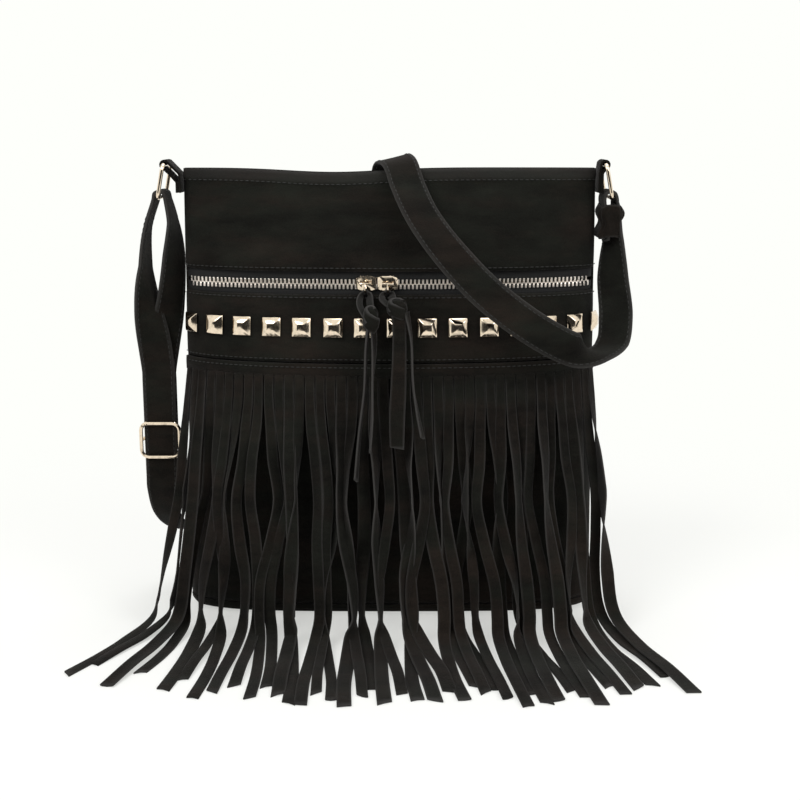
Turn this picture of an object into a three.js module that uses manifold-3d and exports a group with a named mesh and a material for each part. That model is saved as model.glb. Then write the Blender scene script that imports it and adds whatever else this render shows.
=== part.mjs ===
// Fringed suede shoulder bag, standing on its base, front facing -Y. Millimetres, +Z up.
// The origin is the middle of the flat base.
import * as THREE from 'three';
import Module from 'manifold-3d';
import { mergeVertices } from 'three/addons/utils/BufferGeometryUtils.js';

const wasm = await Module();
wasm.setup();

// Body
const bodyHeight = 297;
const topWidth = 270;
const baseWidth = 276;
const topDepth = 18;
const bulgeDepth = 88;
const baseDepth = 72;
const bulgeHeight = 150;
const topTaper = 2.2;
const baseRounding = 8;
const upperSection = 2.1;
const baseSection = 3.6;
const topSag = 3;
const topSagAt = -37;
const topSagSpread = 45;
const suedeThickness = 2.2;
const clearance = 0.3;

// Front zip
const zipHeight = 225;
const zipOpening = 14;
const zipRadius = 490;
const zipArcReach = 96;
const tapeThickness = 0.9;
const tapeWidth = 15;
const rowGap = 1.2;
const zipRecess = 4.4;
const tapeGap = 0.9;
const toothHeight = 3;
const toothDepth = 2;
const frontZipReach = 0.92;
const sliderLength = 13;
const sliderHeight = 9.2;
const plateThickness = 1.1;
const sliderClearance = 0.5;
const leftSliderAt = -15;
const rightSliderAt = -1;
const bailReach = 4.5;
const bailThickness = 1;
const bailLength = 7.5;
const pullRadius = 3.4;
const pullWire = 0.6;

// Studs
const studHeight = 197;
const studPitch = 20;
const studCount = 15;
const studOffset = 3.9;
const studSize = 12.4;
const studTop = 5.6;
const studRise = 3.4;
const studRim = 0.7;

// Fringe
const fringeSeam = 174;
const headerHeight = 9;
const fringeThickness = 1.2;
const stripWidth = 6.2;
const fringeReach = 0.9;
const touchShare = 0.34;

// Tabs, rings, strap and slide
const tabWidth = 18;
const tabThickness = 1.6;
const tabHang = 18;
const ringWire = 2.6;
const ringWidth = 33;
const ringHeight = 24;
const ringCorner = 3.6;
const ringTopHeight = 299;
const leftRingOut = 11;
const rightRingOut = 5;
const ringLean = 4;
const ringPlay = 1.6;
const strapWidth = 22;
const strapThickness = 2.2;
const slideWire = 2.6;
const slideHeight = 26;
const slideCorner = 5;
const slideCentre = [-155.5, -9.2, 115.5];

// Linings and top zip
const liningThickness = 0.8;
const liningInset = 10.8;
const liningTop = 283;
const pocketBottom = 112;
const topZipDrop = 9;
const topZipReach = 110;
const topSliderAt = 100;
const topPullLength = 22;
const topPullWidth = 5.4;
const topPullThickness = 1.2;
const topPullRise = 0.5;

const suede = { color: 0x15110f, roughness: 0.95, metalness: 0 };
const cloth = { color: 0x1b1b1d, roughness: 0.9, metalness: 0 };
const zipTape = { color: 0x101012, roughness: 0.85, metalness: 0 };
const paleGold = { color: 0xd8c39a, roughness: 0.28, metalness: 1 };
const silver = { color: 0xc9c4bd, roughness: 0.3, metalness: 1 };

const bag = new THREE.Group();
const halfTurn = Math.PI / 2;
const sectionSteps = 20;

function addMesh(name, geometry, look, parent = bag) {
  const mesh = new THREE.Mesh(geometry, new THREE.MeshStandardMaterial(look));
  mesh.name = name;
  parent.add(mesh);
  return mesh;
}

// Closed solids from rings of points

function closedGeometry(points, triangles) {
  let volume = 0;
  for (const [a, b, c] of triangles) {
    volume += points[a].dot(points[b].clone().cross(points[c]));
  }
  const geometry = new THREE.BufferGeometry();
  geometry.setAttribute('position', new THREE.Float32BufferAttribute(points.flatMap((p) => p.toArray()), 3));
  geometry.setIndex(triangles.flatMap((t) => (volume > 0 ? t : [t[0], t[2], t[1]])));
  return geometry;
}

function loft(rings, cap = 'fan') {
  const count = rings[0].length;
  const points = rings.flat();
  const triangles = [];
  for (let i = 0; i + 1 < rings.length; i += 1) {
    for (let j = 0; j < count; j += 1) {
      const a = i * count + j;
      const b = i * count + ((j + 1) % count);
      triangles.push([a, b, b + count], [a, b + count, a + count]);
    }
  }
  const last = (rings.length - 1) * count;
  if (cap === 'band') {
    for (let j = 0; j + 1 < count / 2; j += 1) {
      const k = count - 1 - j;
      triangles.push([j + 1, j, k], [j + 1, k, k - 1]);
      triangles.push([last + j, last + j + 1, last + k], [last + j + 1, last + k - 1, last + k]);
    }
    return closedGeometry(points, triangles);
  }
  if (cap === 'tape') {
    for (let j = 0; j + 1 < count / 2; j += 1) {
      const near = [1 + j, (count - j) % count];
      const far = [2 + j, count - 1 - j];
      triangles.push([near[0], near[1], far[0]], [far[0], near[1], far[1]]);
      const [a, b, c, d] = [...near, ...far].map((corner) => last + corner);
      triangles.push([b, a, c], [b, c, d]);
    }
    return closedGeometry(points, triangles);
  }
  for (let j = 1; j + 1 < count; j += 1) {
    triangles.push([0, j + 1, j], [last, last + j, last + j + 1]);
  }
  return closedGeometry(points, triangles);
}

function closedLoop(rings) {
  const count = rings[0].length;
  const points = rings.flat();
  const triangles = [];
  rings.forEach((ring, i) => {
    const next = ((i + 1) % rings.length) * count;
    for (let j = 0; j < count; j += 1) {
      const k = (j + 1) % count;
      triangles.push([i * count + j, i * count + k, next + k], [i * count + j, next + k, next + j]);
    }
  });
  return closedGeometry(points, triangles);
}

function solidOf(geometry) {
  const plain = geometry.clone();
  plain.deleteAttribute('normal');
  plain.deleteAttribute('uv');
  const merged = mergeVertices(plain, 1e-4);
  return new wasm.Manifold(new wasm.Mesh({
    numProp: 3,
    vertProperties: new Float32Array(merged.attributes.position.array),
    triVerts: new Uint32Array(merged.index.array),
  }));
}

function geometryOf(solid) {
  const mesh = solid.getMesh();
  const geometry = new THREE.BufferGeometry();
  geometry.setAttribute('position', new THREE.BufferAttribute(Float32Array.from(mesh.vertProperties), 3));
  geometry.setIndex(new THREE.BufferAttribute(Uint32Array.from(mesh.triVerts), 1));
  return geometry;
}

function fused(geometries) {
  return geometryOf(geometries.map(solidOf).reduce((sum, piece) => sum.add(piece)));
}

function block(x, y, z, centre) {
  const box = new THREE.BoxGeometry(x, y, z);
  box.translate(...centre);
  return box;
}

// Body surface

function halfWidth(z) {
  return THREE.MathUtils.lerp(baseWidth, topWidth, z / bodyHeight) / 2;
}

function halfDepth(z) {
  if (z < bulgeHeight) {
    return (baseDepth + (bulgeDepth - baseDepth) * Math.sin(halfTurn * z / bulgeHeight)) / 2;
  }
  const rise = (z - bulgeHeight) / (bodyHeight - bulgeHeight);
  return (bulgeDepth - (bulgeDepth - topDepth) * Math.min(rise, 1) ** topTaper) / 2;
}

function baseInset(z) {
  const below = Math.max(baseRounding - z, 0);
  return baseRounding - Math.sqrt(baseRounding ** 2 - below ** 2);
}

function sectionPower(z) {
  const low = Math.max(1 - z / bulgeHeight, 0);
  return upperSection + (baseSection - upperSection) * low;
}

// A point of the shell: turn runs from side seam to side seam, side is -1 in front and 1 behind
function shellPoint(turn, z, inset, side) {
  const power = 2 / sectionPower(z);
  const across = (halfWidth(z) - inset - baseInset(z)) * Math.abs(Math.sin(turn)) ** power;
  const deep = (halfDepth(z) - inset - baseInset(z)) * Math.abs(Math.cos(turn)) ** power;
  return new THREE.Vector3(Math.sign(turn) * across, side * (clearance / 2 + deep), z);
}

function turnAtX(x, z, inset = 0) {
  const share = Math.min(Math.abs(x) / (halfWidth(z) - inset), 1);
  return Math.sign(x) * Math.asin(share ** (sectionPower(z) / 2));
}

function turnAtArc(arc, z) {
  const steps = 400;
  let length = 0;
  let before = shellPoint(0, z, 0, -1);
  for (let i = 1; i <= steps; i += 1) {
    const turn = halfTurn * i / steps;
    const here = shellPoint(turn, z, 0, -1);
    length += here.distanceTo(before);
    if (length >= Math.abs(arc)) return Math.sign(arc) * turn;
    before = here;
  }
  return Math.sign(arc) * halfTurn;
}

function shellNormal(turn, z, side) {
  const step = 0.02;
  const along = shellPoint(turn + step, z, 0, side).sub(shellPoint(turn - step, z, 0, side));
  const up = shellPoint(turn, z + 1, 0, side).sub(shellPoint(turn, z - 1, 0, side));
  const normal = along.cross(up).normalize();
  return normal.y * side > 0 ? normal : normal.negate();
}

function spread(count, from, to) {
  return Array.from({ length: count + 1 }, (_, i) => from + (to - from) * i / count);
}

function panel({
  low, high, side, outset = 0, thickness = suedeThickness, reach = 1, across = sectionSteps, up = 6,
}) {
  const topEdge = (x) => (typeof high === 'function' ? high(x) : high);
  const point = (turn, share, inset) => {
    const x = shellPoint(turn, bodyHeight, 0, side).x;
    return shellPoint(turn, THREE.MathUtils.lerp(low, topEdge(x), share), inset, side);
  };
  const rings = spread(across, -reach * halfTurn, reach * halfTurn).map((turn) => {
    const shares = spread(up, 0, 1);
    const outer = shares.map((share) => point(turn, share, -outset));
    const inner = shares.map((share) => point(turn, share, thickness - outset)).reverse();
    return [...outer, ...inner];
  });
  return loft(rings, 'band');
}

function topEdgeHeight(x) {
  return bodyHeight - topSag * Math.exp(-(((x - topSagAt) / topSagSpread) ** 2));
}

function sectionRing(z, inset) {
  const turns = spread(sectionSteps, -halfTurn, halfTurn);
  const front = turns.map((turn) => shellPoint(turn, z, inset, -1));
  const back = turns.map((turn) => shellPoint(turn, z, inset, 1)).reverse();
  return [...front, ...back];
}

const lowEdge = baseRounding + clearance;
const openingLow = zipHeight - zipOpening / 2;
const openingHigh = zipHeight + zipOpening / 2;

addMesh('back_panel', panel({ low: lowEdge, high: topEdgeHeight, side: 1, up: 12 }), suede);
addMesh('front_upper_panel', panel({ low: openingHigh, high: topEdgeHeight, side: -1, up: 4 }), suede);
addMesh('front_band', panel({ low: fringeSeam + clearance, high: openingLow, side: -1, up: 2 }), suede);
addMesh('front_lower_panel', panel({ low: lowEdge, high: fringeSeam, side: -1, up: 5 }), suede);

function basePanel() {
  const levels = spread(3, 0, baseRounding);
  const outer = levels.map((z) => sectionRing(z, 0));
  const inner = [sectionRing(baseRounding, suedeThickness)];
  const floor = sectionRing(baseRounding, baseRounding).map((p) => p.setZ(suedeThickness));
  return loft([...outer, ...inner, floor]);
}

addMesh('base_panel', basePanel(), suede);

// Linings

// Heights between the zip opening and the top of the lining, as a share of the way
const aboveZip = (share) => THREE.MathUtils.lerp(openingHigh, liningTop, share);

function liningDepth(z) {
  const low = THREE.MathUtils.smoothstep(z, 40, 90);
  const high = 1 - THREE.MathUtils.smoothstep(z, aboveZip(0.16), aboveZip(0.66));
  const seat = suedeThickness + 3 * clearance;
  return seat + (liningInset - seat) * low * high;
}

// The linings share these heights, so that their faces stay parallel
const innerTop = openingLow - 7;
const innerLevels = [0.23, 0.5, 0.77, 1].map(
  (share) => THREE.MathUtils.lerp(pocketBottom, innerTop, share),
);

function mainLining() {
  const levels = [lowEdge + 1, 50, 95, ...innerLevels, aboveZip(0.02), aboveZip(0.34), aboveZip(0.66), liningTop];
  const outer = levels.map((z) => sectionRing(z, liningDepth(z)));
  const inner = levels.map((z) => sectionRing(z, liningDepth(z) + liningThickness)).reverse();
  inner[inner.length - 1].forEach((p) => p.setZ(p.z + liningThickness));
  return loft([...outer, ...inner]);
}

addMesh('main_lining', mainLining(), cloth);

// The pocket lining hangs from both zip tapes as one folded sheet
function pocketLining() {
  const near = suedeThickness + tapeGap + tapeThickness + 2 * clearance;
  const far = liningInset - 2 * clearance - liningThickness;
  const path = [
    ...innerLevels.map((z) => [z, near]).reverse(),
    [pocketBottom + 2, near], [pocketBottom, (near + far) / 2], [pocketBottom + 2, far],
    ...innerLevels.map((z) => [z, far]),
    [aboveZip(0.02), far], [openingHigh + 5, near + 0.8], [openingHigh + 8, near],
  ];
  const wall = liningThickness / 2;
  const faces = [1, -1].map((way) => path.map(([z, inset], i) => {
    const [z0, i0] = path[Math.max(i - 1, 0)];
    const [z1, i1] = path[Math.min(i + 1, path.length - 1)];
    const length = Math.hypot(z1 - z0, i1 - i0);
    const outward = way * wall / length;
    return [z - outward * (i1 - i0), inset + wall + outward * (z1 - z0)];
  }));
  const reach = 0.8 * halfTurn;
  const rings = spread(0.8 * sectionSteps, -reach, reach).map((turn) => [
    ...faces[0].map(([z, inset]) => shellPoint(turn, z, inset, -1)),
    ...faces[1].map(([z, inset]) => shellPoint(turn, z, inset, -1)).reverse(),
  ]);
  return loft(rings, 'band');
}

addMesh('pocket_lining', pocketLining(), cloth);

// Front zip: its middle stretch is one true arc, which the sliders follow

const tapeFront = halfDepth(zipHeight) + clearance / 2 - zipRecess;
const zipLine = tapeFront - tapeThickness / 2;
const zipCentre = zipRadius - zipLine;

function zipPoint(x) {
  const reach = Math.min(Math.abs(x), zipArcReach);
  const arc = zipCentre - Math.sqrt(zipRadius ** 2 - reach ** 2);
  const depth = zipRecess + tapeThickness / 2;
  const shell = (at) => shellPoint(turnAtX(at, zipHeight, depth), zipHeight, depth, -1).y;
  const beyond = Math.abs(x) > zipArcReach ? shell(Math.abs(x)) - shell(zipArcReach) : 0;
  return new THREE.Vector2(x, arc + beyond);
}

function zipFrame(x) {
  const before = zipPoint(x - 0.5);
  const after = zipPoint(x + 0.5);
  const along = after.sub(before).normalize();
  return { at: zipPoint(x), along, out: new THREE.Vector2(along.y, -along.x) };
}

// Frame coordinates: u out of the bag, z up
function zipPlace(frame, u, z) {
  return new THREE.Vector3(frame.at.x + frame.out.x * u, frame.at.y + frame.out.y * u, z);
}

// A tape with its row of teeth as one bead: flat where the slider runs, then along the panel
function frontTape(way) {
  const reach = frontZipReach * halfWidth(zipHeight);
  const flatEdge = zipHeight + way * (sliderHeight / 2 + clearance);
  const far = zipHeight + way * tapeWidth;
  const near = zipHeight + way * rowGap / 2;
  const bead = near + way * toothHeight;
  const half = tapeThickness / 2;
  const full = toothDepth / 2;
  const rings = spread(30, -halfTurn, halfTurn).map((q) => {
    const frame = zipFrame(reach * Math.sin(q));
    const seat = suedeThickness + tapeGap + half;
    const shift = shellPoint(turnAtX(frame.at.x, far, seat), far, seat, -1).y - frame.at.y;
    const edge = (u) => zipPlace(frame, u, far).add(new THREE.Vector3(0, shift, 0));
    return [
      zipPlace(frame, full, near), zipPlace(frame, -full, near),
      zipPlace(frame, -full, bead), zipPlace(frame, -half, bead + way * 0.4),
      zipPlace(frame, -half, flatEdge), edge(-half), edge(half), zipPlace(frame, half, flatEdge),
      zipPlace(frame, half, bead + way * 0.4), zipPlace(frame, full, bead),
    ];
  });
  return loft(rings, 'tape');
}

addMesh('front_zip_upper_tape', frontTape(1), silver);
addMesh('front_zip_lower_tape', frontTape(-1), silver);

// A slider stands at the origin, out along -Y, its length along X
function sliderBody(bail) {
  const inner = toothDepth / 2 + sliderClearance;
  const outline = new THREE.Shape();
  const half = sliderLength / 2;
  const wide = sliderHeight / 2;
  outline.moveTo(-half, -wide * 0.8);
  outline.lineTo(-half + 2.5, -wide);
  outline.lineTo(half - 4, -wide);
  outline.quadraticCurveTo(half, -wide * 0.9, half, -wide * 0.5);
  outline.lineTo(half, wide * 0.5);
  outline.quadraticCurveTo(half, wide * 0.9, half - 4, wide);
  outline.lineTo(-half + 2.5, wide);
  outline.lineTo(-half, wide * 0.8);
  const plate = (from) => {
    const options = { depth: plateThickness, bevelEnabled: false, curveSegments: 3 };
    const geometry = new THREE.ExtrudeGeometry(outline, options);
    geometry.rotateX(halfTurn);
    geometry.translate(0, from, 0);
    return geometry;
  };
  const lip = sliderHeight / 2 - 0.4;
  const slot = tapeThickness / 2 + sliderClearance;
  const lips = [1, -1].flatMap((way) => [1, -1].map((face) => block(
    sliderLength - 6, inner - slot + 0.2, 0.8, [0, face * (inner + slot + 0.2) / 2, way * lip],
  )));
  const web = block(3, 2 * inner + 0.4, rowGap / 2, [half - 2, 0, 0]);
  const pieces = [plate(-inner), plate(inner + plateThickness), web, ...lips];
  if (bail) {
    const face = inner + plateThickness;
    const top = face + bailReach + bailThickness / 2;
    for (const way of [-1, 1]) {
      pieces.push(block(
        bailThickness, top - face + 0.4, bailThickness,
        [way * (bailLength - bailThickness) / 2, -(top + face - 0.4) / 2, 0],
      ));
    }
    pieces.push(block(bailLength, bailThickness, bailThickness, [0, -(face + bailReach), 0]));
  }
  return fused(pieces);
}

const bailLine = toothDepth / 2 + sliderClearance + plateThickness + bailReach;
const pullDrop = pullRadius - pullWire - bailThickness / 2 - clearance;

function pullRing() {
  const ring = new THREE.TorusGeometry(pullRadius, pullWire, 6, 16);
  ring.rotateY(halfTurn);
  ring.translate(0, -bailLine, -pullDrop);
  return mergeVertices(plainGeometry(ring));
}

function plainGeometry(geometry) {
  geometry.deleteAttribute('normal');
  geometry.deleteAttribute('uv');
  return geometry;
}

// A flat strip along a curve. Each station is [x, y, z, angle]; the angle turns its width in
// degrees from +X towards +Y where it runs down, or the width direction is given as a vector.
// A station is x, y, z, then the angle of its width about Z and how far that width rises, in degrees
function ribbon(stations, width, thickness, steps, { floor = -Infinity } = {}) {
  const points = stations.map(([x, y, z]) => new THREE.Vector3(x, y, z));
  const curve = new THREE.CatmullRomCurve3(points, false, 'centripetal');
  const last = stations.length - 1;
  const rings = spread(steps, 0, 1).map((share) => {
    const at = curve.getPoint(share);
    at.z = Math.max(at.z, floor);
    const along = curve.getTangent(share);
    const k = Math.min(Math.floor(share * last), last - 1);
    const [angle, rise] = [3, 4].map((item) => THREE.MathUtils.degToRad(
      THREE.MathUtils.lerp(stations[k][item] ?? 0, stations[k + 1][item] ?? 0, share * last - k),
    ));
    const level = Math.cos(rise);
    const wide = new THREE.Vector3(Math.cos(angle) * level, Math.sin(angle) * level, Math.sin(rise));
    wide.addScaledVector(along, -wide.dot(along)).normalize();
    const flat = along.clone().cross(wide).normalize();
    const corner = (w, f) => at.clone()
      .addScaledVector(wide, w * width / 2).addScaledVector(flat, f * thickness / 2);
    return [corner(-1, -1), corner(1, -1), corner(1, 1), corner(-1, 1)];
  });
  return loft(rings);
}

function knot(at, size) {
  const ball = new THREE.SphereGeometry(0.5, 10, 7);
  ball.scale(...size);
  ball.rotateY(0.35);
  ball.translate(...at);
  return ball;
}

// Tassel routes in the bag's own frame, x from the slider's middle
const leftTassel = {
  knot: [4, -51, 204],
  size: [10, 8.5, 13],
  tails: [
    {
      width: 5,
      stations: [
        [3, -51, 204, 70],
        [1, -53.5, 186, 80],
        [0, -57, 160, 85],
        [-3, -64, 132, 80],
        [-5, -71, 104, 70],
      ],
    },
    {
      width: 5.5,
      stations: [
        [5, -51, 204, 40],
        [6, -53, 188, 60],
        [5, -57.5, 164, 95],
        [5, -64, 142, 100],
        [4, -69, 122, 95],
      ],
    },
  ],
};
const rightTassel = {
  knot: [6, -49, 210.5],
  size: [14, 8, 10],
  tails: [
    {
      width: 9.5,
      stations: [
        [7, -49.5, 210, 5],
        [7.5, -52, 192, 4],
        [7, -56.5, 165, -4],
        [6, -62, 142, -8],
        [6, -66.5, 124, -6],
      ],
    },
    {
      width: 5,
      stations: [
        [12, -49.5, 209, 60],
        [15, -52.5, 190, 85],
        [16, -58, 164, 95],
        [19, -64, 145, 80],
        [22, -67.5, 131, 70],
      ],
    },
  ],
};

function tasselSolid({ knot: middle, size, tails }) {
  const eye = -zipLine - bailLine;
  const hang = zipHeight - pullDrop - pullRadius + pullWire + 1.2;
  const [x, y, z] = middle;
  const loop = ribbon([
    [x - 2, y, z, 90], [-2.8, (y + eye) / 2 - 1, (z + hang) / 2, 90], [-1.9, eye, hang - 2, 90], [0, eye, hang, 90],
    [1.9, eye, hang - 2, 90], [2.8, (y + eye) / 2 - 1, (z + hang) / 2, 90], [x + 2, y, z, 90],
  ], 2.6, 1.1, 18);
  const hanging = tails.map(({ width, stations }) => ribbon(stations, width, 1.3, 10));
  return fused([loop, knot(middle, size), ...hanging]);
}

for (const [side, at, tassel] of [['left', leftSliderAt, leftTassel], ['right', rightSliderAt, rightTassel]]) {
  const turntable = new THREE.Group();
  turntable.position.set(0, zipCentre, zipHeight);
  turntable.rotation.z = Math.asin(at / zipRadius);
  bag.add(turntable);
  const seat = new THREE.Group();
  seat.position.y = -zipRadius;
  turntable.add(seat);
  const body = sliderBody(true);
  if (side === 'left') body.rotateY(Math.PI);
  addMesh(`front_zip_slider_${side}`, body, paleGold, seat);
  addMesh(`front_zip_pull_${side}`, pullRing(), paleGold, seat);
  const hanging = tasselSolid(tassel);
  hanging.translate(0, zipLine, -zipHeight);
  addMesh(`tassel_${side}`, hanging, suede, seat);
}

// Studs

function studGeometry() {
  const square = (size, height) => [[-1, -1], [1, -1], [1, 1], [-1, 1]].map(
    ([x, y]) => new THREE.Vector3(x * size / 2, y * size / 2, height),
  );
  return loft([square(studSize, 0), square(studSize, studRim), square(studTop, studRise)]);
}

for (let i = 0; i < studCount; i += 1) {
  const turn = turnAtArc((i - (studCount - 1) / 2) * studPitch + studOffset, studHeight);
  const normal = shellNormal(turn, studHeight, -1);
  const across = new THREE.Vector3(0, 0, 1).cross(normal).normalize();
  const up = normal.clone().cross(across);
  const stand = clearance + 0.15;
  const seat = new THREE.Group();
  seat.position.copy(shellPoint(turn, studHeight, 0, -1).addScaledVector(normal, stand));
  seat.quaternion.setFromRotationMatrix(new THREE.Matrix4().makeBasis(across, up, normal));
  bag.add(seat);
  addMesh(`stud_${String(i + 1).padStart(2, '0')}`, studGeometry(), paleGold, seat);
}

// Fringe: where each strip's tip lies on the floor, x and y, from left to right

const stripTips = [
  [-194, -132], [-181, -118], [-166, -149], [-150, -130], [-132, -154], [-123, -140], [-113, -165], [-103, -157],
  [-91, -149], [-80, -165], [-72, -150], [-64, -161], [-57, -172], [-50, -174], [-42, -159], [-33, -168],
  [-25, -176], [-15, -163], [-8, -154], [-2, -172], [8, -160], [17, -168], [27, -169], [36, -157],
  [44, -168], [51, -150], [57, -158], [64, -154], [69, -166], [80, -176], [85, -160], [91, -172],
  [98, -169], [107, -156], [114, -164], [122, -174], [130, -150], [138, -160], [147, -152], [156, -148],
  [166, -136], [178, -158],
];
const stripTwists = [35, -50, 15, 60, -20, 5, -65, 30, -10, 50, -35, 12, 70, -25, 20, -55];

function strip(index) {
  const reach = fringeReach * 0.985;
  const arcs = arcLengthTo(reach * halfTurn, fringeSeam);
  const arc = -arcs + 2 * arcs * (index + 0.5) / stripTips.length;
  const turn = turnAtArc(arc, fringeSeam);
  const out = shellNormal(turn, fringeSeam, -1).setZ(0).normalize();
  const lift = clearance + fringeThickness / 2 + 0.05;
  const start = shellPoint(turn, fringeSeam - headerHeight + 1.5, 0, -1).addScaledVector(out, lift);
  const [tipX, tipY] = stripTips[index];
  const touchX = start.x + touchShare * (tipX - start.x);
  const touchY = start.y + 0.36 * (tipY - start.y);
  const floor = fringeThickness / 2 + 0.1;
  const tilt = THREE.MathUtils.radToDeg(Math.atan2(out.x, -out.y));
  const run = THREE.MathUtils.radToDeg(Math.atan2(tipX - touchX, -(tipY - touchY)));
  const twist = stripTwists[index % stripTwists.length];
  const between = (share, z, angle) => [
    THREE.MathUtils.lerp(start.x, touchX, share), THREE.MathUtils.lerp(start.y, touchY, share), z, angle,
  ];
  return ribbon([
    [start.x, start.y, start.z, tilt],
    between(0.1, 146, tilt),
    between(0.27, 112, tilt + twist * 0.5),
    between(0.5, 70, (tilt + run) / 2 + twist),
    between(0.76, 30, run + twist * 0.6),
    between(1.02, 7, run + twist * 0.2),
    [THREE.MathUtils.lerp(touchX, tipX, 0.28), THREE.MathUtils.lerp(touchY, tipY, 0.28), floor, run],
    [tipX, tipY, floor, run],
  ], stripWidth, fringeThickness, 10, { floor: floor + 0.25 });
}

function arcLengthTo(turn, z) {
  return spread(200, 0, turn).reduce(
    (sum, at, i, all) => (i ? sum + shellPoint(at, z, 0, -1).distanceTo(shellPoint(all[i - 1], z, 0, -1)) : 0), 0,
  );
}

const header = panel({
  low: fringeSeam - headerHeight, high: fringeSeam, side: -1, outset: clearance + fringeThickness + 0.05,
  thickness: fringeThickness, reach: fringeReach, across: 30, up: 1,
});
addMesh('fringe', fused([header, ...stripTips.map((_, i) => strip(i))]), suede);

// Tabs and rings at the top corners

function roundedLoop(width, height, corner, wire, sides = 8, perCorner = 4) {
  const rings = [];
  const centres = [[1, 1, 0], [-1, 1, 1], [-1, -1, 2], [1, -1, 3]];
  for (const [sx, sy, quarter] of centres) {
    for (let i = 0; i <= perCorner; i += 1) {
      const angle = halfTurn * (quarter + i / perCorner);
      const out = new THREE.Vector3(Math.cos(angle), 0, Math.sin(angle));
      const middle = new THREE.Vector3(sx * (width / 2 - corner), 0, sy * (height / 2 - corner));
      const at = middle.addScaledVector(out, corner);
      rings.push(Array.from({ length: sides }, (_, j) => {
        const around = 2 * Math.PI * j / sides;
        return at.clone().addScaledVector(out, wire * Math.cos(around) / 2)
          .add(new THREE.Vector3(0, wire * Math.sin(around) / 2, 0));
      }));
    }
  }
  return closedLoop(rings);
}

// Centre line of a ring's top and bottom bar, in x and z
function ringBars(way, outward) {
  const top = way * (topWidth / 2 + outward);
  const rise = ringHeight - ringWire;
  const lean = Math.asin(ringLean / rise);
  return { top, low: top + way * ringLean, topZ: ringTopHeight, lowZ: ringTopHeight - rise * Math.cos(lean), lean };
}

function ringSolid(way, outward) {
  const { top, low, topZ, lowZ, lean } = ringBars(way, outward);
  const ring = roundedLoop(ringWidth - ringWire, ringHeight - ringWire, ringCorner, ringWire);
  ring.rotateZ(halfTurn);
  ring.rotateY(-way * lean);
  ring.translate((top + low) / 2, 0, (topZ + lowZ) / 2);
  return ring;
}

// A fold of flat material round a bar: points from angle to angle, degrees, about a centre in x and z
function foldRound(centre, radius, from, to, count) {
  return spread(count, from, to).map((angle) => {
    const a = THREE.MathUtils.degToRad(angle);
    return [centre[0] + radius * Math.cos(a), centre[1] + radius * Math.sin(a)];
  });
}

function flatStrip(path, width, thickness, y = 0) {
  const rings = path.map(([x, z], i) => {
    const [x0, z0] = path[Math.max(i - 1, 0)];
    const [x1, z1] = path[Math.min(i + 1, path.length - 1)];
    const length = Math.hypot(x1 - x0, z1 - z0);
    const nx = -(z1 - z0) / length * thickness / 2;
    const nz = (x1 - x0) / length * thickness / 2;
    return [[-1, -1], [1, -1], [1, 1], [-1, 1]].map(
      ([w, f]) => new THREE.Vector3(x + f * nx, y + w * width / 2, z + f * nz),
    );
  });
  return loft(rings);
}

function tabSolid(way, outward) {
  const { top } = ringBars(way, outward);
  const radius = ringWire / 2 + clearance + 0.2 + tabThickness / 2;
  const side = topWidth / 2 + clearance + 0.5 + tabThickness / 2;
  const layer = tabThickness + clearance;
  const out = way * top;
  const fold = foldRound([out, ringTopHeight], radius, 150, -75, 8);
  const path = [
    [side, ringTopHeight - tabHang], [side, ringTopHeight - 6], ...fold,
    [Math.max(side + layer, out - radius), ringTopHeight - 5.5], [side + layer, ringTopHeight - 11],
    [side + layer, ringTopHeight - tabHang],
  ].map(([x, z]) => [way * x, z]);
  return flatStrip(path, tabWidth, tabThickness);
}

for (const [side, way, outward] of [['left', -1, leftRingOut], ['right', 1, rightRingOut]]) {
  addMesh(`strap_ring_${side}`, ringSolid(way, outward), paleGold);
  addMesh(`ring_tab_${side}`, tabSolid(way, outward), suede);
}

// Strap: one piece, from the slide's centre bar up round the left ring, down through the
// slide, behind the bag, over its top and across the front to the right ring.
// Each station is x, y, z and the turn of its width in degrees from +X.

const leftBars = ringBars(-1, leftRingOut);
const rightBars = ringBars(1, rightRingOut);
const wrap = ringWire / 2 + ringPlay + strapThickness / 2;
const slideLayer = slideCentre[1] + slideWire / 2 + 0.4 + strapThickness / 2;
const centreBarY = slideLayer + strapThickness / 2 + 0.4 + slideWire * 0.4;
const endLayer = centreBarY + slideWire * 0.4 + 0.4 + strapThickness / 2;

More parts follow.
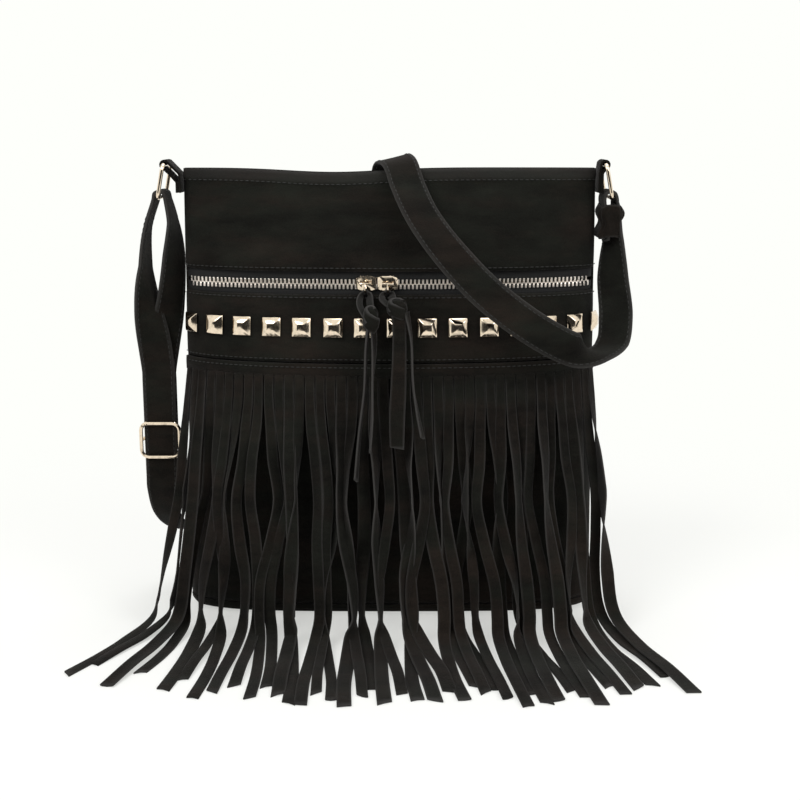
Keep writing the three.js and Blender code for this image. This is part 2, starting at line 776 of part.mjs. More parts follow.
const strapStations = [
  [slideCentre[0], endLayer, slideCentre[2] - 8, 0],
  [slideCentre[0], endLayer, 156, 0],
  [slideCentre[0], endLayer, 162, 0],
  [-154.5, endLayer + 0.6, 180, 12],
  [-152.5, 2.4, leftBars.lowZ - 70, 45],
  [-146.5, 1.5, leftBars.lowZ - 38, 78],
  [-144.2, 0.5, leftBars.lowZ - 16, 90],
  [leftBars.low + wrap, 0, leftBars.lowZ - 1.5, 90],
  [leftBars.low + wrap * 0.72, 0, leftBars.lowZ + wrap * 0.72, 90],
  [leftBars.low, 0, leftBars.lowZ + wrap, 90],
  [leftBars.low - wrap * 0.72, 0, leftBars.lowZ + wrap * 0.72, 90],
  [leftBars.low - wrap, 0, leftBars.lowZ - 1.5, 90],
  [-160, -0.5, leftBars.lowZ - 20, 90],
  [-162, -3, leftBars.lowZ - 46, 80],
  [-160.5, -8, leftBars.lowZ - 72, 48],
  [-157, slideLayer - 1, 180, 14],
  [slideCentre[0], slideLayer, 163, 0],
  [slideCentre[0], slideLayer, 156, 0],
  [slideCentre[0], slideLayer, 97, 0],
  [slideCentre[0], slideLayer, 90, 0],
  [-156.5, slideLayer + 4, 78, -10],
  [-155, 8, 57, -24],
  [-144, 32, 40, -22],
  [-118, 55, 42, -10],
  [-78, 62, 78, 8],
  [-44, 62, 135, 12],
  [-22, 57, 195, 10],
  [-9, 44, 250, 6],
  [-3, 26, 284, 4],
  [0, 13, 299, 3],
  [3, 0, 302, 2],
  [7, -13, 299, 2],
  [12, -26, 286, 2],
  [21, -42, 268, 2],
  [36, -55, 248, 0],
  [60, -64, 223, 0],
  [86, -66, 203, 0, 4],
  [112, -62, 188, 5, 18],
  [132, -51, 180.5, 70, 18],
  [143.5, -38, 186, 135, 20],
  [147, -27, rightBars.lowZ - 75, 158, 6],
  [146, -15, rightBars.lowZ - 50, 142],
  [147, -5, rightBars.lowZ - 26, 112],
  [rightBars.low + wrap + 0.4, 0, rightBars.lowZ - 4, 90],
  [rightBars.low + wrap, 0, rightBars.lowZ, 90],
  [rightBars.low + wrap * 0.7, 0, rightBars.lowZ + wrap * 0.7, 90],
  [rightBars.low, 0, rightBars.lowZ + wrap, 90],
  [rightBars.low - wrap * 0.7, 0, rightBars.lowZ + wrap * 0.7, 90],
  [rightBars.low - wrap, 0, rightBars.lowZ - 1, 90],
  [142.6, -0.5, rightBars.lowZ - 16, 90],
  [142.9, -2.5, rightBars.lowZ - 29, 89],
];

addMesh('shoulder_strap', ribbon(strapStations, strapWidth, strapThickness, 124), suede);

// Slide: a rounded wire frame in front of the strap, its centre bar behind

function slideSolid() {
  const halfInside = strapWidth / 2 + 0.7;
  const width = 2 * halfInside + slideWire;
  const frame = roundedLoop(width, slideHeight - slideWire, slideCorner, slideWire);
  const back = centreBarY - slideCentre[1];
  const bar = slideWire * 0.8;
  const cross = block(width + slideWire * 0.6, bar, bar, [0, back, 0]);
  const ends = [-1, 1].map((way) => block(bar, back + bar / 2, bar, [way * width / 2, back / 2 + bar / 4, 0]));
  return fused([frame, cross, ...ends]);
}

const slide = addMesh('strap_slide', slideSolid(), paleGold);
slide.position.set(...slideCentre);

// Top zip: two tapes level between the panels, a slider and its pull

const topZipHeight = bodyHeight - topZipDrop;

function topTape(side) {
  const half = tapeThickness / 2;
  const tape = loft(spread(24, -topZipReach, topZipReach).map((x) => {
    const seat = suedeThickness + tapeGap;
    const edge = shellPoint(turnAtX(x, topZipHeight, seat), topZipHeight, seat, side).y;
    const near = side * (rowGap / 2 + 1.4);
    return [[near, -half], [edge, -half], [edge, half], [near, half]].map(
      ([y, z]) => new THREE.Vector3(x, y, topZipHeight + z),
    );
  }));
  const bead = new THREE.BoxGeometry(2 * topZipReach - 2, toothHeight - 0.8, toothDepth - 0.4);
  bead.translate(0, side * (rowGap / 2 + (toothHeight - 0.8) / 2), topZipHeight);
  return fused([tape, bead]);
}

addMesh('top_zip_front_tape', topTape(-1), zipTape);
addMesh('top_zip_back_tape', topTape(1), zipTape);

const topSeat = new THREE.Group();
topSeat.position.set(topSliderAt, 0, topZipHeight);
topSeat.rotation.x = -halfTurn;
bag.add(topSeat);
addMesh('top_zip_slider', sliderBody(true), paleGold, topSeat);

// The pull is a flat tongue lying along the zip; its nose bar passes under the slider's bail
function topPull() {
  const half = topPullWidth / 2;
  const gap = bailThickness / 2 + clearance;
  const slot = bailLength / 2 + 2.5;
  const tongue = new THREE.Shape();
  tongue.moveTo(1.8, -half);
  tongue.lineTo(1.8, half);
  tongue.lineTo(-topPullLength + half, half);
  tongue.absarc(-topPullLength + half, 0, half, halfTurn, 3 * halfTurn, false);
  tongue.lineTo(1.8, -half);
  const eye = new THREE.Path();
  eye.moveTo(0.2, -gap);
  eye.lineTo(-slot, -gap);
  eye.lineTo(-slot, gap);
  eye.lineTo(0.2, gap);
  tongue.holes.push(eye);
  return new THREE.ExtrudeGeometry(tongue, { depth: topPullThickness, bevelEnabled: false, curveSegments: 5 });
}

const topPullMesh = addMesh('top_zip_pull', topPull(), paleGold);
const topPullSeat = toothDepth / 2 + sliderClearance + plateThickness + topPullRise;
topPullMesh.position.set(topSliderAt, 0, topZipHeight + topPullSeat);

export default bag;
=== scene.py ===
"""A black suede shoulder bag with fringe, studs and two meeting zip sliders, dressed round its frame."""

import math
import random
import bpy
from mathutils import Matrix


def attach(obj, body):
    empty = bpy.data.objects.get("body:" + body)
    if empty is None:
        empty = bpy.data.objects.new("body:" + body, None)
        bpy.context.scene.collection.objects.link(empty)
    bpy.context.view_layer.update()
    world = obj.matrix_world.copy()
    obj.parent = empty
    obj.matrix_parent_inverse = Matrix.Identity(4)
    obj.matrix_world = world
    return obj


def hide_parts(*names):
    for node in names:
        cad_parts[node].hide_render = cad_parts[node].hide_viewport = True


bl_info = {
    "name": "Fringed suede bag",
    "version": (1, 0, 0),
    "blender": (4, 5, 0),
    "location": "View3D > Sidebar > Bag",
    "description": "Dresses the frame of a fringed suede shoulder bag piece by piece",
    "category": "Object",
}

import bmesh
import bpy
from bpy.props import FloatProperty, FloatVectorProperty, IntProperty, PointerProperty
from mathutils import Matrix, Vector, noise

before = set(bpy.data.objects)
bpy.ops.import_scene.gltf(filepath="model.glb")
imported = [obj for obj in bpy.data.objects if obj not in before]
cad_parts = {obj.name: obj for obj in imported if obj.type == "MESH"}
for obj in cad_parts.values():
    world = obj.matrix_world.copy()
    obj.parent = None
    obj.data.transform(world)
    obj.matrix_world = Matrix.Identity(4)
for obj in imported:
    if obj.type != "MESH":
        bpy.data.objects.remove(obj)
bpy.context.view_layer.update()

BODY = "bag_body"
MM = 0.001
MERGE_DISTANCE = 0.00001
QUARTER_TURN = math.pi / 2
ARC_STEPS = 400

# Body of the bag, in millimetres, as its solids are
BODY_HEIGHT = 297
TOP_WIDTH = 270
BASE_WIDTH = 276
TOP_DEPTH = 18
BULGE_DEPTH = 88
BASE_DEPTH = 72
BULGE_HEIGHT = 150
TOP_TAPER = 2.2
BASE_ROUNDING = 8
UPPER_SECTION = 2.1
BASE_SECTION = 3.6
TOP_SAG = 3
TOP_SAG_AT = -37
TOP_SAG_SPREAD = 45
SUEDE_THICKNESS = 2.2
HEM = 7
HEM_SEAM = 287
CLEARANCE = 0.3

# Front zip
ZIP_HEIGHT = 225
ZIP_OPENING = 14
ZIP_RADIUS = 490
ZIP_ARC_REACH = 96
ZIP_RECESS = 4.4
ZIP_REACH = 0.982
TAPE_THICKNESS = 0.9
TAPE_GAP = 0.9
TAPE_WIDTH = 15
TOOTH_PITCH = 2.62
TOOTH_HEIGHT = 3.4
TOOTH_WIDTH = 1.6
TEETH_DROP = 1.0
END_RECESS = 1.6
TOOTH_DEPTH = 2
TOOTH_STAGGER = {1: 0.25, -1: 0.75}
SLIDER_HEIGHT = 9.2
LEFT_SLIDER_AT = -15
RIGHT_SLIDER_AT = -1
BAIL_LINE = 7.1
PULL_RADIUS = 3.4
PULL_WIRE = 0.6
PULL_DROP = 2.0

# Studs
STUD_COUNT = 15
STUD_HEIGHT = 197
STUD_PITCH = 20
STUD_OFFSET = 3.9
STUD_SIZE = 12.4
STUD_RIM = 0.7
STUD_CREASE = 0.45
STUD_SMOOTHING = 0.42
# Width and height of the steps up the slopes, then of the flat top
STUD_LEVELS = ((8.6, 2.1), (5.4, 3.2), (4.2, 3.4))

# Fringe
FRINGE_SEAM = 174
HEADER_HEIGHT = 9
FRINGE_THICKNESS = 1.2
FRINGE_REACH = 0.9
TOUCH_SHARE = 0.34
TOUCH_FORWARD = 0.36
# Neighbouring strips lie in turn on three layers
LAYERS = 3
LAYER_LIFT = 1.3
LAYER_DEPTH = 2.6
STRIP_STEPS = 64
STRIP_FLOOR = 0.95
# Beyond this distance from the middle a strip sways less
INNER_REACH = 118
OUTER_SWAY = 0.4

# Strap, rings and slide
STRAP_THICKNESS = 2.2
STRAP_STEPS = 520
STRAP_SEAM = 2.2
STRAP_CUP = 0.12
STRAP_EDGE = 0.9
STRAP_THREAD = 0.24
RING_WIRE = 2.6
RING_WIDTH = 33
RING_HEIGHT = 24
RING_CORNER = 3.6
RING_TOP = 299
RING_LEAN = 4
RING_PLAY = 1.6
LEFT_RING_OUT = 11
RIGHT_RING_OUT = 5
RING_STITCH_GAP = 14
SLIDE_WIRE = 2.6
SLIDE_PLAY = 0.4
SLIDE_BAR_SHARE = 0.4
SLIDE_CENTRE = (-155.5, -9.2, 115.5)


class BagSettings(bpy.types.PropertyGroup):
    strap_width: FloatProperty(
        name="Strap width", description="Width of the shoulder strap", default=0.022, unit="LENGTH")
    strip_width: FloatProperty(
        name="Fringe strip", description="Width of one strip of the fringe", default=0.0064, unit="LENGTH")
    stitch_length: FloatProperty(
        name="Stitch", description="Length of one stitch", default=0.0026, unit="LENGTH")
    stud_bevel: FloatProperty(
        name="Stud edge", description="Rounding of a stud's edges", default=0.00035, unit="LENGTH")
    fringe_seed: IntProperty(
        name="Fringe seed", description="Changes how the strips lie", default=11)
    suede_dark: FloatVectorProperty(
        name="Suede", description="The suede where its nap lies down", subtype="COLOR", size=3,
        default=(0.0022, 0.0019, 0.0014))
    suede_light: FloatVectorProperty(
        name="Brushed suede", description="The suede where its nap stands up", subtype="COLOR", size=3,
        default=(0.0170, 0.0125, 0.0095))
    # The same pale colour is also laid thinly over the panels' hem band as a painted highlight
    cut_edge_and_hem_highlight: FloatVectorProperty(
        name="Cut edge", description="Cut edges and the flesh side", subtype="COLOR", size=3,
        default=(0.050, 0.048, 0.046))
    gold: FloatVectorProperty(
        name="Pale gold", description="Plating of the studs and fittings", subtype="COLOR", size=3,
        default=(0.86, 0.72, 0.56))


def settings():
    return bpy.context.scene.bag_settings


# The shell's surface

def half_width(z):
    """Half the width of the shell at a height."""
    return (BASE_WIDTH + (TOP_WIDTH - BASE_WIDTH) * z / BODY_HEIGHT) / 2


def half_depth(z):
    """Half the depth of the shell at a height: out to the bulge, then in to the top edge."""
    if z < BULGE_HEIGHT:
        return (BASE_DEPTH + (BULGE_DEPTH - BASE_DEPTH) * math.sin(QUARTER_TURN * z / BULGE_HEIGHT)) / 2
    rise = min((z - BULGE_HEIGHT) / (BODY_HEIGHT - BULGE_HEIGHT), 1)
    return (BULGE_DEPTH - (BULGE_DEPTH - TOP_DEPTH) * rise ** TOP_TAPER) / 2


def base_inset(z):
    """How far the rounded base edge draws the shell in."""
    below = max(BASE_ROUNDING - z, 0)
    return BASE_ROUNDING - math.sqrt(max(BASE_ROUNDING ** 2 - below ** 2, 0))


def section_power(z):
    """How square the section is: near an ellipse above, squarer towards the base."""
    return UPPER_SECTION + (BASE_SECTION - UPPER_SECTION) * max(1 - z / BULGE_HEIGHT, 0)


def shell_point(turn, z, inset, side):
    """A point of the shell in millimetres; side is -1 in front and 1 behind."""
    power = 2 / section_power(z)
    across = (half_width(z) - inset - base_inset(z)) * abs(math.sin(turn)) ** power
    deep = (half_depth(z) - inset - base_inset(z)) * abs(math.cos(turn)) ** power
    return Vector((math.copysign(across, turn), side * (CLEARANCE / 2 + deep), z))


def turn_at_x(x, z, inset=0):
    """The turn round the section at which the shell is x from the middle."""
    share = min(abs(x) / (half_width(z) - inset), 1)
    return math.copysign(math.asin(share ** (section_power(z) / 2)), x)


def arc_table(z):
    """Turns round a quarter of the section and the distance along it to each."""
    turns = spread(ARC_STEPS, 0, QUARTER_TURN)
    lengths = [0.0]
    before = shell_point(0, z, 0, -1)
    for turn in turns[1:]:
        here = shell_point(turn, z, 0, -1)
        lengths.append(lengths[-1] + (here - before).length)
        before = here
    return turns, lengths


def turn_at_arc(arc, z):
    """The turn at a distance along the section from the middle of the front."""
    turns, lengths = arc_table(z)
    for turn, length in zip(turns, lengths):
        if length >= abs(arc):
            return math.copysign(turn, arc)
    return math.copysign(QUARTER_TURN, arc)


def shell_normal(turn, z, side):
    step = 0.02
    along = shell_point(turn + step, z, 0, side) - shell_point(turn - step, z, 0, side)
    up = shell_point(turn, z + 1, 0, side) - shell_point(turn, z - 1, 0, side)
    normal = along.cross(up).normalized()
    return normal if normal.y * side > 0 else -normal


def top_edge(x):
    """Height of the top edge, which sags a little to the left of the strap."""
    return BODY_HEIGHT - TOP_SAG * math.exp(-(((x - TOP_SAG_AT) / TOP_SAG_SPREAD) ** 2))


def spread(count, start, end):
    """Evenly spaced values from start to end, one more than count."""
    return [start + (end - start) * i / count for i in range(count + 1)]


def smooth_step(value, start, end):
    """Rises smoothly from 0 at start to 1 at end."""
    share = min(max((value - start) / (end - start), 0), 1)
    return share * share * (3 - 2 * share)


# Mesh helpers

def mesh_piece(name, points, faces, material, smooth=True, masks=None):
    """A mesh from points in millimetres, with its masks stored as point attributes."""
    mesh = bpy.data.meshes.new(name)
    mesh.from_pydata([tuple(Vector(p) * MM) for p in points], [], faces)
    for mask, values in (masks or {}).items():
        layer = mesh.attributes.new(mask, "FLOAT", "POINT")
        layer.data.foreach_set("value", values)
    mesh.materials.append(material)
    mesh.validate()
    mesh.update()
    piece = bpy.data.objects.new(name, mesh)
    bpy.context.scene.collection.objects.link(piece)
    clean = bmesh.new()
    clean.from_mesh(mesh)
    bmesh.ops.recalc_face_normals(clean, faces=clean.faces)
    clean.to_mesh(mesh)
    clean.free()
    for polygon in mesh.polygons:
        polygon.use_smooth = smooth
    return piece


def tube_faces(rings, count, offset=0, closed=False):
    """Quads between rings of points, with a flat cap at each end of an open tube."""
    faces = []
    for i in range(rings if closed else rings - 1):
        low = offset + i * count
        high = offset + ((i + 1) % rings) * count
        for j in range(count):
            k = (j + 1) % count
            faces.append((low + j, low + k, high + k, high + j))
    if not closed:
        faces.append(tuple(range(offset, offset + count)))
        last = offset + (rings - 1) * count
        faces.append(tuple(range(last, last + count)))
    return faces


def end_face(mesh, way):
    """Selects the highest face of a mesh in edit mode, or the lowest."""
    bpy.ops.mesh.select_all(action="DESELECT")
    shape = bmesh.from_edit_mesh(mesh)
    end = max(shape.faces, key=lambda face: way * face.calc_center_median().z)
    end.select_set(True)
    bmesh.update_edit_mesh(mesh)


def deselect_all():
    bpy.ops.object.select_all(action="DESELECT")


def apply_transform():
    bpy.ops.object.transform_apply(location=True, rotation=True, scale=True)


def finish_edit():
    """Turns all faces outwards and leaves edit mode."""
    bpy.ops.mesh.select_all(action="SELECT")
    bpy.ops.mesh.normals_make_consistent(inside=False)
    bpy.ops.object.mode_set(mode="OBJECT")


def round_edges(piece, width, angle, harden=False):
    """Rounds the edges that turn by more than an angle, in radians."""
    bevel = piece.modifiers.new("Rounded edges", "BEVEL")
    bevel.width = width
    bevel.segments = 2
    bevel.limit_method = "ANGLE"
    bevel.angle_limit = angle
    bevel.harden_normals = harden
    bpy.ops.object.modifier_apply(modifier=bevel.name)


def curve_point(points, share):
    """A point of a centripetal curve through the points."""
    last = len(points) - 1
    place = share * last
    i = min(int(place), last - 1)
    w = place - i
    p1, p2 = points[i], points[i + 1]
    p0 = points[i - 1] if i > 0 else p1 * 2 - p2
    p3 = points[i + 2] if i + 2 <= last else p2 * 2 - p1
    d0, d1, d2 = (max((a - b).length, 1e-6) ** 0.5 for a, b in ((p0, p1), (p1, p2), (p2, p3)))
    t1 = ((p1 - p0) / d0 - (p2 - p0) / (d0 + d1) + (p2 - p1) / d1) * d1
    t2 = ((p2 - p1) / d1 - (p3 - p1) / (d1 + d2) + (p3 - p2) / d2) * d1
    return (p1 + t1 * w + (p1 * -3 + p2 * 3 - t1 * 2 - t2) * w ** 2
            + (p1 * 2 - p2 * 2 + t1 + t2) * w ** 3)


def curve_frames(stations, steps, floor=-1e9):
    """Place, direction, width direction and face direction at even steps along the stations."""
    points = [Vector(s[:3]) for s in stations]
    turns = [Vector((s[3], s[4] if len(s) > 4 else 0)) for s in stations]
    frames = []
    for share in spread(steps, 0, 1):
        at = curve_point(points, share)
        before = curve_point(points, max(share - 0.002, 0))
        after = curve_point(points, min(share + 0.002, 1))
        along = (after - before).normalized()
        place = min(share * (len(turns) - 1), len(turns) - 1 - 1e-9)
        k = int(place)
        turn = turns[k].lerp(turns[k + 1], place - k)
        angle, rise = math.radians(turn.x), math.radians(turn.y)
        wide = Vector((math.cos(angle) * math.cos(rise), math.sin(angle) * math.cos(rise), math.sin(rise)))
        wide = (wide - along * wide.dot(along)).normalized()
        at.z = max(at.z, floor)
        frames.append((at, along, wide, along.cross(wide).normalized()))
    return frames


def frames_length(frames):
    """Length of a route along its middle line."""
    return sum((b[0] - a[0]).length for a, b in zip(frames, frames[1:]))


# Across and through a flat strip, as shares of its half width and half thickness, and its edge mask
STRIP_SECTION = (
    (-1.0, -0.35, 1.0), (-0.95, -1.0, 0.55), (-0.7, -1.0, 0.0), (0.0, -1.0, 0.0), (0.7, -1.0, 0.0),
    (0.95, -1.0, 0.55), (1.0, -0.35, 1.0), (1.0, 0.35, 1.0), (0.95, 1.0, 0.55), (0.7, 1.0, 0.0),
    (0.0, 1.0, 0.0), (-0.7, 1.0, 0.0), (-0.95, 1.0, 0.55), (-1.0, 0.35, 1.0),
)


def strip_points(frames, width, thickness, cup=0.0, slant=0.0):
    """Rings of points of a flat strip, with the masks of its cut edge and its flesh side."""
    points, edge, flesh = [], [], []
    last = len(frames) - 1
    for i, (at, along, wide, flat) in enumerate(frames):
        share = i / last
        reach = slant if i == last else 0
        for across, through, rim in STRIP_SECTION:
            place = at + wide * (across * width(share) / 2) + flat * (through * thickness / 2)
            place = place + flat * (cup * (across * across - 0.4)) + along * (reach * across)
            points.append(place)
            edge.append(max(rim * smooth_step(share, 0, 0.05), 1.0 if i == last else 0.0))
            flesh.append(1.0 if through < 0 else 0.0)
    return points, edge, flesh


# Materials

def feed(tree, node, values):
    """Feeds a node's inputs: each is linked to another socket or takes a plain value."""
    for name, value in values.items():
        socket = node.inputs[name]
        if isinstance(value, bpy.types.NodeSocket):
            tree.links.new(value, socket)
        elif socket.type == "RGBA":
            socket.default_value = (*value, 1)
        else:
            socket.default_value = value


def add_node(tree, kind, values):
    node = tree.nodes.new(kind)
    feed(tree, node, values)
    return node


def object_place(tree):
    return tree.nodes.new("ShaderNodeTexCoord").outputs["Object"]


def node_group(name, inputs, outputs):
    """An empty shader group with float inputs given as name: default, what it is given and its output."""
    group = bpy.data.node_groups.new(name, "ShaderNodeTree")
    for socket, default in inputs.items():
        made = group.interface.new_socket(name=socket, in_out="INPUT", socket_type="NodeSocketFloat")
        made.default_value = default
    for socket in outputs:
        group.interface.new_socket(name=socket, in_out="OUTPUT", socket_type="NodeSocketFloat")
    return group, group.nodes.new("NodeGroupInput").outputs, group.nodes.new("NodeGroupOutput")


def noise_node(tree, vector, scale, detail, roughness=0.55):
    values = {"Vector": vector, "Scale": scale, "Detail": detail, "Roughness": roughness}
    return add_node(tree, "ShaderNodeTexNoise", values).outputs["Fac"]


def math_node(tree, operation, first, second):
    node = add_node(tree, "ShaderNodeMath", {0: first, 1: second})
    node.operation = operation
    return node.outputs[0]


def range_node(tree, value, limits, interpolation="LINEAR"):
    """Maps a value by limits given as socket: number."""
    node = add_node(tree, "ShaderNodeMapRange", {"Value": value, **limits})
    node.interpolation_type = interpolation
    return node.outputs["Result"]


def effect_node(tree, group):
    node = tree.nodes.new("ShaderNodeGroup")
    node.node_tree = group
    return node.outputs


def mask_node(tree, name, strength):
    """A mask stored on the mesh, weakened."""
    node = tree.nodes.new("ShaderNodeAttribute")
    node.attribute_name = name
    return math_node(tree, "MULTIPLY", node.outputs["Fac"], strength)


def colour_mix(tree, factor, first, second):
    """Mixes two colours; the numbers are the mix node's sockets for colours."""
    node = tree.nodes.new("ShaderNodeMix")
    node.data_type = "RGBA"
    feed(tree, node, {0: factor, 6: first, 7: second})
    return node.outputs[2]


def bump_node(tree, height, strength, distance):
    values = {"Strength": strength, "Distance": distance, "Height": height}
    return add_node(tree, "ShaderNodeBump", values).outputs["Normal"]


def plain_material(name):
    material = bpy.data.materials.new(name)
    material.use_nodes = True
    return material, material.node_tree, material.node_tree.nodes["Principled BSDF"]


def suede_group():
    """Nap: fine fibres, brushed streaks and broad tone. Puts out a tone, a warmth mask and a height."""
    scales = {"Fibre scale": 1500.0, "Patch scale": 42.0, "Tone scale": 11.0}
    group, given, out = node_group("Suede nap", scales, ("Tone", "Warmth", "Height"))
    place = object_place(group)
    stretched = add_node(group, "ShaderNodeMapping", {"Scale": (0.4, 1.0, 1.3), "Vector": place}).outputs[0]
    fibre = noise_node(group, place, given["Fibre scale"], 2)
    patch = noise_node(group, stretched, given["Patch scale"], 6, 0.72)
    tone = noise_node(group, place, given["Tone scale"], 3)
    blotch = noise_node(group, stretched, 30, 4, 0.6)
    mixed = math_node(group, "MULTIPLY", patch, 0.8)
    for texture, share in ((fibre, 0.35), (tone, 0.45)):
        mixed = math_node(group, "ADD", mixed, math_node(group, "MULTIPLY", texture, share))
    feed(group, out, {
        "Tone": range_node(group, mixed, {"From Min": 0.62, "From Max": 1.02}),
        "Warmth": range_node(group, blotch, {"From Min": 0.42, "From Max": 0.60}),
        "Height": math_node(group, "ADD", math_node(group, "MULTIPLY", patch, 1.2), fibre),
    })
    return group


def suede_material(name, group, sheen):
    """Black suede: napped face, paler cut edges and flesh side where a piece has those masks, and a painted
    highlight on the panels' hem band through the edge mask.
    """
    material, tree, shader = plain_material(name)
    nap = effect_node(tree, group)
    colours = settings()
    light, pale = tuple(colours.suede_light), tuple(colours.cut_edge_and_hem_highlight)
    cool = tuple(c * share for c, share in zip(light, (0.68, 1.0, 0.98)))
    raised = colour_mix(tree, nap["Warmth"], cool, light)
    colour = colour_mix(tree, nap["Tone"], tuple(colours.suede_dark), raised)
    colour = colour_mix(tree, mask_node(tree, "flesh", 0.32), colour, tuple(c * 0.72 for c in pale))
    # The edge mask makes cut edges paler and, on the panels, lays a painted highlight along the hem band
    colour = colour_mix(tree, mask_node(tree, "edge", 0.75), colour, pale)
    feed(tree, shader, {
        "Base Color": colour, "Normal": bump_node(tree, nap["Height"], 0.8, 0.0005),
        "Roughness": 0.93, "Specular IOR Level": 0.1,
        "Sheen Weight": sheen, "Sheen Roughness": 0.45, "Sheen Tint": (0.42, 0.40, 0.40),
    })
    return material


def wear_group():
    """Fine brushing and handling marks on plated metal. Puts out a mask and a height."""
    group, given, out = node_group("Plating wear", {"Scale": 260.0}, ("Mask", "Height"))
    marks = noise_node(group, object_place(group), given["Scale"], 5, 0.7)
    worn = range_node(group, marks, {"From Min": 0.45, "From Max": 0.72})
    feed(group, out, {"Mask": worn, "Height": marks})
    return group


def metal_material(name, group, colour, worn, rough_low, rough_high):
    material, tree, shader = plain_material(name)
    wear = effect_node(tree, group)
    feed(tree, shader, {
        "Base Color": colour_mix(tree, wear["Mask"], colour, worn),
        "Roughness": range_node(tree, wear["Mask"], {"To Min": rough_low, "To Max": rough_high}),
        "Normal": bump_node(tree, wear["Height"], 0.04, 0.0002), "Metallic": 1.0,
    })
    return material


def weave_group():
    """A plain weave from two crossed waves. Puts out a tone mask and a height."""
    group, given, out = node_group("Plain weave", {"Scale": 320.0}, ("Tone", "Height"))
    values = {"Vector": object_place(group), "Scale": given["Scale"], "Distortion": 0.6}
    waves = []
    for direction in ("X", "Z"):
        wave = add_node(group, "ShaderNodeTexWave", values)
        wave.bands_direction = direction
        waves.append(wave.outputs["Fac"])
    height = math_node(group, "MAXIMUM", *waves)
    feed(group, out, {"Height": height, "Tone": height})
    return group


def woven_material(name, group, dark, light):
    material, tree, shader = plain_material(name)
    weave = effect_node(tree, group)
    feed(tree, shader, {
        "Base Color": colour_mix(tree, weave["Tone"], dark, light),
        "Normal": bump_node(tree, weave["Height"], 0.5, 0.0003),
        "Roughness": 0.85, "Specular IOR Level": 0.25,
    })
    return material


def thread_material(name, colour):
    """Waxed sewing thread, its twist as a fine diagonal ripple."""
    material, tree, shader = plain_material(name)
    twist = add_node(tree, "ShaderNodeTexWave", {"Scale": 900, "Vector": object_place(tree)})
    twist.bands_direction = "DIAGONAL"
    ripple = twist.outputs["Fac"]
    feed(tree, shader, {
        "Base Color": colour_mix(tree, ripple, tuple(c * 0.6 for c in colour), colour),
        "Normal": bump_node(tree, ripple, 0.4, 0.0001), "Roughness": 0.6,
    })
    return material


MATERIALS = {}


def make_materials():
    nap = suede_group()
    wear = wear_group()
    weave = weave_group()
    gold = tuple(settings().gold)
    MATERIALS["suede"] = suede_material("suede", nap, 0.10)
    MATERIALS["fringe"] = suede_material("fringe_suede", nap, 0.16)
    MATERIALS["gold"] = metal_material("pale_gold", wear, gold, tuple(c * 0.72 for c in gold), 0.10, 0.22)
    MATERIALS["teeth"] = metal_material("zip_teeth", wear, (0.92, 0.84, 0.77), (0.78, 0.70, 0.62), 0.30, 0.46)
    MATERIALS["tape"] = woven_material("zip_tape", weave, (0.004, 0.004, 0.004), (0.012, 0.012, 0.012))
    MATERIALS["lining"] = woven_material("lining", weave, (0.006, 0.006, 0.007), (0.016, 0.016, 0.018))
    MATERIALS["thread"] = thread_material("thread", (0.011, 0.011, 0.010))


def dress(node, key):
    """Gives a CAD node its finish."""
    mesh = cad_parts[node].data
    mesh.materials.clear()
    mesh.materials.append(MATERIALS[key])


def settle(piece, body, slot, *nodes):
    """Puts a piece on its body and hides the nodes it stands for; its finish, given as slot, is not used."""
    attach(piece, body)
    if nodes:
        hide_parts(*nodes)


# Panels

# Depths of the stuffing's unevenness: on average, in broad swells and in small dents
RELIEF_MEAN = 0.45
RELIEF_BROAD = 0.45
RELIEF_SMALL = 0.18
PUCKER_DEPTH = 0.22
PUCKER_REACH = 5


def panel_relief(x, z, side):
    """How far the stuffed suede stands in from its even surface, in millimetres."""
    broad = noise.noise(Vector((x * 0.018, side * 3.1, z * 0.022)))
    small = noise.noise(Vector((x * 0.07, side * 7.7, z * 0.055)))
    return RELIEF_MEAN + RELIEF_BROAD * broad + RELIEF_SMALL * small


def seam_pucker(x, distance):
    """Small gathers that fade within a few millimetres of a seam."""
    fade = math.exp(-distance / PUCKER_REACH)
    return PUCKER_DEPTH * fade * (1 + math.sin(x * 0.9 + 1.7 * math.sin(x * 0.13)))


PANEL_STEPS = 150
# Where a panel's relief fades out towards the sides, as turns round the section
RELIEF_ENDS = (1.2, 1.5)


def side_fade(turn):
    return 1 - smooth_step(abs(turn), *RELIEF_ENDS)


def panel_profile(low, top, up):
    """Height and inset of a panel's section: outer face, rolled top edge, back and rolled low edge."""
    rim = SUEDE_THICKNESS * 0.35
    roll = [rim * (1 - math.sin(QUARTER_TURN * share)) for share in (0, 0.5)]
    outer = [(low + (top - low) * share, 0.0) for share in spread(up, 0, 1)[1:-1]]
    return (
        [(low + inset, inset) for inset in roll] + outer
        + [(top - inset, inset) for inset in reversed(roll)]
        + [(top, SUEDE_THICKNESS * share) for share in (0.5, 0.85)]
        + [(top + (low - top) * share, SUEDE_THICKNESS) for share in spread(6, 0, 1)]
        + [(low, SUEDE_THICKNESS * 0.6)])


